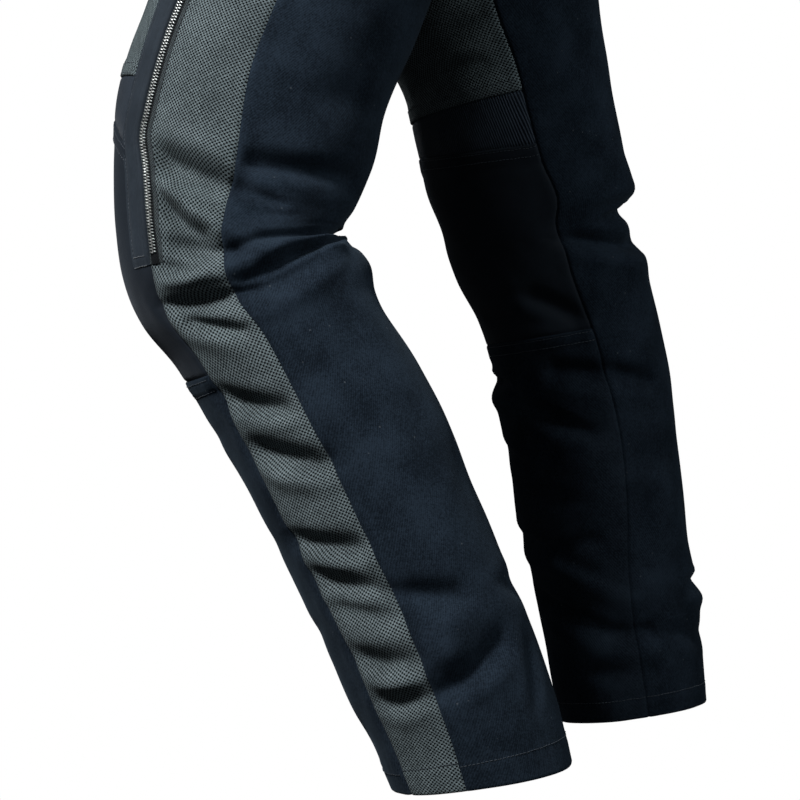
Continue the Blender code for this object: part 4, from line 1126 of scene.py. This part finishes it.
for leg in ("l", "r"):
    patches, threads, pale = legs[leg]
    side = SIDE[leg]
    zip_line = lambda d: seam_round(leg, "zip", d)
    end = ZIP_END[leg]

    # facing: a folded strip that stands over the front edge of the zip
    points, normal, mm, rnd, down = strip_patch(leg, -FACING_WIDE, 0.6, ZIP_TOP, end, 24, zip_line, step=2.5)
    from_edge = 0.6 - mm[None, :] + 0 * down
    from_stitch = mm[None, :] + FACING_WIDE + 0 * down
    rise = 0.45 + 0.95 * ease(from_stitch, 1.5, 8.0) - 0.22 * np.exp(-(((from_stitch - 2.6) / 0.8) ** 2))
    rise = rise + 0.95 * np.exp(-(((from_edge - 2.6) / 2.4) ** 2)) - 1.5 * (1 - ease(from_edge, 0, 1.7)) ** 1.6
    rise = rise + 0.20 * pucker(down, 1.3, 9.0) * np.exp(-(((from_stitch - 2.2) / 4.0) ** 2))
    rise = rise + 0.30 * np.sin(down / 9.0 + 0.7) * np.sin(down / 23.0) * np.exp(-((from_edge / 6.0) ** 2))
    rise = rise * (1 - 0.7 * (1 - ease(down, ZIP_TOP, ZIP_TOP + 3)) - 0.8 * ease(down, end - 8, end))
    outer = points + normal * rise[..., None]
    inner = points + normal * (0.22 + 0 * rise)[..., None]
    inner = np.where((rise < 0.5)[..., None], points + normal * (rise - 0.26)[..., None], inner)
    u = np.repeat(mm[None, :], len(points), axis=0)
    mesh = shell_mesh(f"zip_facing_{leg}_cloth", outer, inner, u, down)
    obj = put(f"zip_facing_{leg}_cloth", mesh, FACING, replaces=[f"zip_facing_{leg}"])
    threads.row(outer[3:-2, 3], normal[3:-2, 3])
    # bar of close stitches across the facing's end
    pale.row(outer[-1, 2:-3], normal[-1, 2:-3], pitch=1.9, long=1.5, radius=0.26, lift=0.15)
    pale.row(outer[-3, 3:-4], normal[-3, 3:-4], pitch=2.1, long=1.6, radius=0.24, lift=0.12)

    # tape under the chain
    points, normal, mm, rnd, down = strip_patch(leg, -1.5, TAPE_WIDE, ZIP_TOP, end - 1.0, 20, zip_line, step=2.5)
    chain_ridge = 0.75 * np.exp(-(((mm[None, :] - CHAIN_AT) / 1.9) ** 2)) * ease(down, CHAIN_TOP - 2, CHAIN_TOP)
    tape_high = 0.42 + chain_ridge - 0.22 * (1 - ease(TAPE_WIDE - mm[None, :] + 0 * down, 0, 1.5))
    # the tape's foot slips under the mesh
    tape_high = tape_high - 0.75 * ease(down, end - 16, end - 4) * ease(mm[None, :] + 0 * down, 6.5, 9.5)
    outer = points + normal * tape_high[..., None]
    inner = points + normal * (0.12 + 0 * tape_high)[..., None]
    mesh = shell_mesh(f"vent_zip_{leg}_tape", outer, inner, np.repeat(mm[None, :], len(points), axis=0), down)
    tape = put(f"vent_zip_{leg}_tape", mesh, TAPE, replaces=[f"vent_zip_{leg}"])
    threads.row(outer[:, -2], normal[:, -2], pitch=3.2, long=2.4, radius=0.2, lift=0.05)

    # the closed chain: two rows of teeth that interlock on its middle line
    k = int(np.argmin(np.abs(mm - CHAIN_AT)))
    start = int(np.argmin(np.abs(down[:, 0] - CHAIN_TOP)))
    line, out = outer[start:, k], normal[start:, k]
    across = unit(outer[start:, k + 2] - outer[start:, k - 2])
    step = np.linalg.norm(np.diff(line, axis=0), axis=1)
    run = np.concatenate([[0], np.cumsum(step)])
    chain_end = run[-1] - 7.0
    coords, faces = [], []
    # section of one tooth across the zip: (share of its length, half width along, height)
    tooth = ((0.0, 0.40, 0.70), (0.12, 0.56, 1.20), (0.5, 0.58, 1.35), (0.72, 0.46, 1.30), (0.88, 0.58, 1.15), (1.0, 0.40, 0.8))
    length = 2.7
    for row, sign in ((0, -1.0), (1, 1.0)):
        starts = np.arange(0.6 + row * TOOTH_PITCH / 2, chain_end, TOOTH_PITCH)
        for s in starts:
            at = read_path(line, run, np.array([s]))[0]
            ahead = read_path(line, run, np.array([s + 0.8]))[0]
            down_dir = unit(ahead - at)
            up = unit(read_path(out, run, np.array([s]))[0])
            side_dir = unit(np.cross(down_dir, up))
            if np.dot(side_dir, read_path(across, run, np.array([s]))[0]) < 0:
                side_dir = -side_dir
            first = len(coords)
            for share, half, high in tooth:
                beside = sign * (2.45 - share * length)
                centre = at + side_dir * beside + down_dir * beside * 0.30
                for a, h in ((-half, -0.35), (-half, high * 0.72), (-half * 0.55, high), (half * 0.55, high), (half, high * 0.72), (half, -0.35)):
                    coords.append((centre + down_dir * a + up * h) * MM)
            n = 6
            for r in range(len(tooth) - 1):
                for q in range(n):
                    nq = (q + 1) % n
                    faces.append((first + r * n + q, first + r * n + nq, first + (r + 1) * n + nq, first + (r + 1) * n + q))
            faces.append(tuple(first + q for q in range(n))[::-1])
            faces.append(tuple(first + (len(tooth) - 1) * n + q for q in range(n)))
    mesh = bpy.data.meshes.new(f"zip_teeth_{leg}")
    mesh.from_pydata(coords, [], faces)
    work = bmesh.new()
    work.from_mesh(mesh)
    bmesh.ops.recalc_face_normals(work, faces=work.faces)
    work.to_mesh(mesh)
    work.free()
    mesh.shade_smooth()
    mesh.set_sharp_from_angle(angle=math.radians(35))
    put(f"zip_teeth_{leg}", mesh, TEETH)


# ============================================================ waist and front
def waist_ring(downs, lift):
    """Points round the waist at given heights, the left leg's half and then the right's."""
    halves = {}
    for leg in ("l", "r"):
        cut = seam_round(leg, "inner_front", downs)
        end = seam_round(leg, "inner_back", downs)
        share = np.linspace(0, 1, 110)
        rnd = cut[:, None] + (end - cut)[:, None] * share[None, :]
        down = np.repeat(downs[:, None], len(share), axis=1)
        points = cloth_surface(leg, rnd, down)
        normal = surface_normal(leg, rnd, down, lambda g, r, d: bare_surface(g, r, d)[0])
        halves[leg] = points, normal
    points = np.concatenate([halves["l"][0], halves["r"][0][:, -2::-1]], axis=1)
    normal = np.concatenate([halves["l"][1], halves["r"][1][:, -2::-1]], axis=1)
    middle = 109
    points[:, middle, 0] = 0
    normal[:, middle] = (0, 1, 0)
    points[:, 0, 0], points[:, -1, 0] = 0.1, -0.1
    return points, normal


heights = np.array([0.0, 0.5, 1.3, 2.4, 3.6, 5.0, 7.5, 10.5, 14, 18, 22, 26, 29.5, 32.5, 35, 36.4, 37.6, 38.8, 39.5, 39.9])
ring, out = waist_ring(heights, 0)
from_top = np.repeat(heights[:, None], ring.shape[1], axis=1)
from_low = 39.9 - from_top
run = along_axis(ring, 1)
swell = 0.75 - 1.0 * (1 - ease(from_top, 0, 1.6)) ** 1.5 - 0.95 * (1 - ease(from_low, 0, 1.4)) ** 1.5
swell = swell - 0.35 * np.exp(-(((from_top - 3.6) / 0.8) ** 2)) - 0.35 * np.exp(-(((from_low - 3.6) / 0.8) ** 2))
swell = swell + 0.22 * pucker(run, 0.4, 13.0) * np.exp(-(((from_top - 3.6) / 5) ** 2)) + 0.22 * pucker(run, 1.9, 12.0) * np.exp(-(((from_low - 3.6) / 5) ** 2))
swell = swell + 0.35 * np.sin(run / 31.0) * np.sin(run / 87.0 + 1)
outer = ring + out * swell[..., None]
inner = ring + out * (swell - 2.5 + 0.9 * (1 - ease(from_top, 0, 1.2)) + 0.9 * (1 - ease(from_low, 0, 1.2)))[..., None]
mesh = shell_mesh("waistband_cloth", outer, inner, run, from_top)
band = put("waistband_cloth", mesh, NAP, replaces=["waistband"])
waist_threads = Threads()
waist_threads.row(outer[4, 2:-2], out[4, 2:-2])
waist_threads.row(outer[-5, 2:-2], out[-5, 2:-2])

# closing tab: runs over the front gap, pointed at its left end
tab_rows = np.linspace(8.2, 31.8, 13)
tab_cols = np.linspace(-1, 1, 37)
front, fout = waist_ring(tab_rows, 0)
left_half = front[:, :110]
width_run = along_axis(left_half, 1)
tab_outer, tab_inner, tab_normal = [], [], []
REACH_R, REACH_L = 33.0, 33.0
for j, h in enumerate(tab_rows):
    across = abs(h - 20.0) / 11.8
    line_o, line_n = [], []
    for c in tab_cols:
        reach = REACH_L * (1 - 0.10 * across**2) if c > 0 else REACH_R
        mm_at = abs(c) * reach
        half = front[j, :110] if c >= 0 else front[j, :-111:-1]
        half_n = fout[j, :110] if c >= 0 else fout[j, :-111:-1]
        steps_ = np.concatenate([[0], np.cumsum(np.linalg.norm(np.diff(half, axis=0), axis=1))])
        p = np.array([np.interp(mm_at, steps_, half[:, q]) for q in range(3)])
        n = np.array([np.interp(mm_at, steps_, half_n[:, q]) for q in range(3)])
        line_o.append(p)
        line_n.append(n)
    tab_outer.append(line_o)
    tab_normal.append(line_n)
tab_points, tab_normal = np.array(tab_outer), unit(np.array(tab_normal))
edge_up = np.minimum(np.minimum(tab_rows[:, None] - 8.2, 31.8 - tab_rows[:, None]) + 0 * tab_cols[None, :],
                     (1 - np.abs(tab_cols[None, :])) * 33.0 + 0 * tab_rows[:, None])
tab_rise = 3.05 - 0.9 * (1 - ease(edge_up, 0, 1.6)) ** 1.5 - 0.25 * np.exp(-(((edge_up - 3.6) / 1.0) ** 2))
tab_o = tab_points + tab_normal * tab_rise[..., None]
tab_i = tab_points + tab_normal * (1.15 + 0 * tab_rise)[..., None]
mesh = shell_mesh("waist_tab_cloth", tab_o, tab_i, np.repeat(tab_cols[None, :] * 33, 13, axis=0), np.repeat(tab_rows[:, None], 37, axis=1))
tab = put("waist_tab_cloth", mesh, FACING, replaces=["waist_tab"])
for j in (2, 10):
    waist_threads.row(tab_o[j, 2:-2], tab_normal[j, 2:-2])
waist_threads.row(tab_o[2:-2, 2], tab_normal[2:-2, 2])
waist_threads.row(tab_o[2:-2, -3], tab_normal[2:-2, -3])

# fly flap on the left front, its lower free corner rounded
flap_rows = np.concatenate([np.arange(40.8, 150, 3.0), np.linspace(150, 178.5, 16)])
share = np.linspace(0, 1, 16)
zip_r, cut_r = seam_round("l", "zip", flap_rows), seam_round("l", "inner_front", flap_rows)
wide = 0.185 * (zip_r - cut_r)
drop = np.clip((flap_rows - 150) / 29.0, 0, 0.999)
wide = wide * np.sqrt(1 - drop**2)
rnd = cut_r[:, None] + wide[:, None] * share[None, :]
down = np.repeat(flap_rows[:, None], len(share), axis=1)
points = cloth_surface("l", rnd, down)
points[..., 0] = np.maximum(points[..., 0], 0.1)
normal = surface_normal("l", rnd, down, lambda g, r, d: bare_surface(g, r, d)[0])
across = along_axis(points, 1)
edge = np.minimum(across[:, -1:] - across, (178.5 - down) * 1.4)
rise = 1.9 - 0.9 * (1 - ease(edge, 0, 1.6)) ** 1.5 - 0.30 * np.exp(-(((edge - 3.6) / 0.9) ** 2)) + 0.2 * pucker(down, 0.2, 12)
flap_o = points + normal * rise[..., None]
flap_i = points + normal * (0.75 + 0 * rise)[..., None]
mesh = shell_mesh("fly_flap_cloth", flap_o, flap_i, across, down)
flap = put("fly_flap_cloth", mesh, NAP_FRONT, replaces=["fly_flap"])
waist_threads.row(flap_o[2:-6, 13], normal[2:-6, 13])
waist_threads.row(flap_o[2:-8, 10], normal[2:-8, 10])

put("waist_stitches", waist_threads.mesh("waist_stitches"), THREAD_DARK)
for leg in ("l", "r"):
    patches, threads, pale = legs[leg]
    put(f"stitches_{leg}", threads.mesh(f"stitches_{leg}"), THREAD_DARK)
    put(f"bar_stitches_{leg}", pale.mesh(f"bar_stitches_{leg}"), THREAD_PALE)

# hardware that keeps its solid's shape
for name in ("zip_slider_l", "zip_slider_r", "zip_pull_l", "zip_pull_r", "waist_button"):
    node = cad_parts[name]
    node.data.materials.clear()
    node.data.materials.append(GUN)

# ==================================================================== stage
FLOOR_Z = cad_low.z - 0.12


def stage_material(name, colour, strength):
    made = bpy.data.materials.new(name)
    made.use_nodes = True
    tree = made.node_tree
    tree.nodes.remove(tree.nodes["Principled BSDF"])
    glow = tree.nodes.new("ShaderNodeEmission")
    glow.inputs["Color"].default_value = (*colour, 1)
    glow.inputs["Strength"].default_value = strength
    tree.links.new(glow.outputs[0], tree.nodes["Material Output"].inputs["Surface"])
    return made


floor_mesh = bpy.data.meshes.new("floor")
ground = bmesh.new()
bmesh.ops.create_circle(ground, cap_ends=True, radius=40, segments=64)
ground.to_mesh(floor_mesh)
ground.free()
floor = bpy.data.objects.new("floor", floor_mesh)
floor.location = (0, 0, FLOOR_Z)
floor.data.materials.append(stage_material("floor_look", (1.0, 1.0, 1.0), 1.0))
floor.visible_diffuse = False
floor.visible_glossy = False
floor.visible_shadow = False
bpy.context.scene.collection.objects.link(floor)
floor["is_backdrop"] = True

scene = bpy.context.scene
world = bpy.data.worlds.new("studio")
scene.world = world
world.use_nodes = True
wt = world.node_tree
wt.nodes.clear()
wout = wt.nodes.new("ShaderNodeOutputWorld")
mix = wt.nodes.new("ShaderNodeMixShader")
path = wt.nodes.new("ShaderNodeLightPath")
seen = wt.nodes.new("ShaderNodeBackground")
seen.inputs["Color"].default_value = (1, 1, 1, 1)
seen.inputs["Strength"].default_value = 1.0
lit = wt.nodes.new("ShaderNodeBackground")
lit.inputs["Strength"].default_value = 0.085
where = wt.nodes.new("ShaderNodeTexCoord")
split = wt.nodes.new("ShaderNodeSeparateXYZ")
ramp = wt.nodes.new("ShaderNodeMapRange")
ramp.inputs["From Min"].default_value = -0.6
ramp.inputs["From Max"].default_value = 0.7
ramp.inputs["To Min"].default_value = 0.25
ramp.inputs["To Max"].default_value = 1.0
wt.links.new(where.outputs["Generated"], split.inputs[0])
wt.links.new(split.outputs[2], ramp.inputs["Value"])
tint = wt.nodes.new("ShaderNodeMix")
tint.data_type = "RGBA"
tint.inputs[6].default_value = (0.10, 0.11, 0.13, 1)
tint.inputs[7].default_value = (0.92, 0.97, 1.0, 1)
wt.links.new(ramp.outputs["Result"], tint.inputs[0])
wt.links.new(tint.outputs[2], lit.inputs["Color"])
wt.links.new(path.outputs["Is Camera Ray"], mix.inputs[0])
wt.links.new(lit.outputs[0], mix.inputs[1])
wt.links.new(seen.outputs[0], mix.inputs[2])
wt.links.new(mix.outputs[0], wout.inputs["Surface"])


def area_light(name, place, aim, size, energy, colour=(1, 1, 1)):
    data = bpy.data.lights.new(name, "AREA")
    data.shape = "DISK"
    data.size = size
    data.energy = energy
    data.color = colour
    obj = bpy.data.objects.new(name, data)
    obj.location = place
    obj.rotation_euler = (Vector(aim) - Vector(place)).to_track_quat("-Z", "Y").to_euler()
    scene.collection.objects.link(obj)
    return obj


area_light("key", (1.45, -1.15, 1.05), (0.15, -0.1, -0.55), 0.7, 92, (0.97, 0.99, 1.0))
area_light("fill", (2.6, -0.4, -0.3), (0, 0, -0.7), 1.6, 2.2, (0.90, 0.97, 1.0))
area_light("back_side", (0.95, 1.8, 0.45), (-0.15, 0.15, -0.8), 0.7, 18, (0.88, 0.97, 1.0))

camera_data = bpy.data.cameras.new("camera")
camera_data.lens = 110.25
camera_data.sensor_width = 36
camera = bpy.data.objects.new("camera", camera_data)
camera.location = (1.91, 0, -0.73)
camera.rotation_euler = (math.radians(90), 0, math.radians(90))
scene.collection.objects.link(camera)
scene.camera = camera
scene.view_settings.view_transform = "Standard"

low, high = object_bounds()
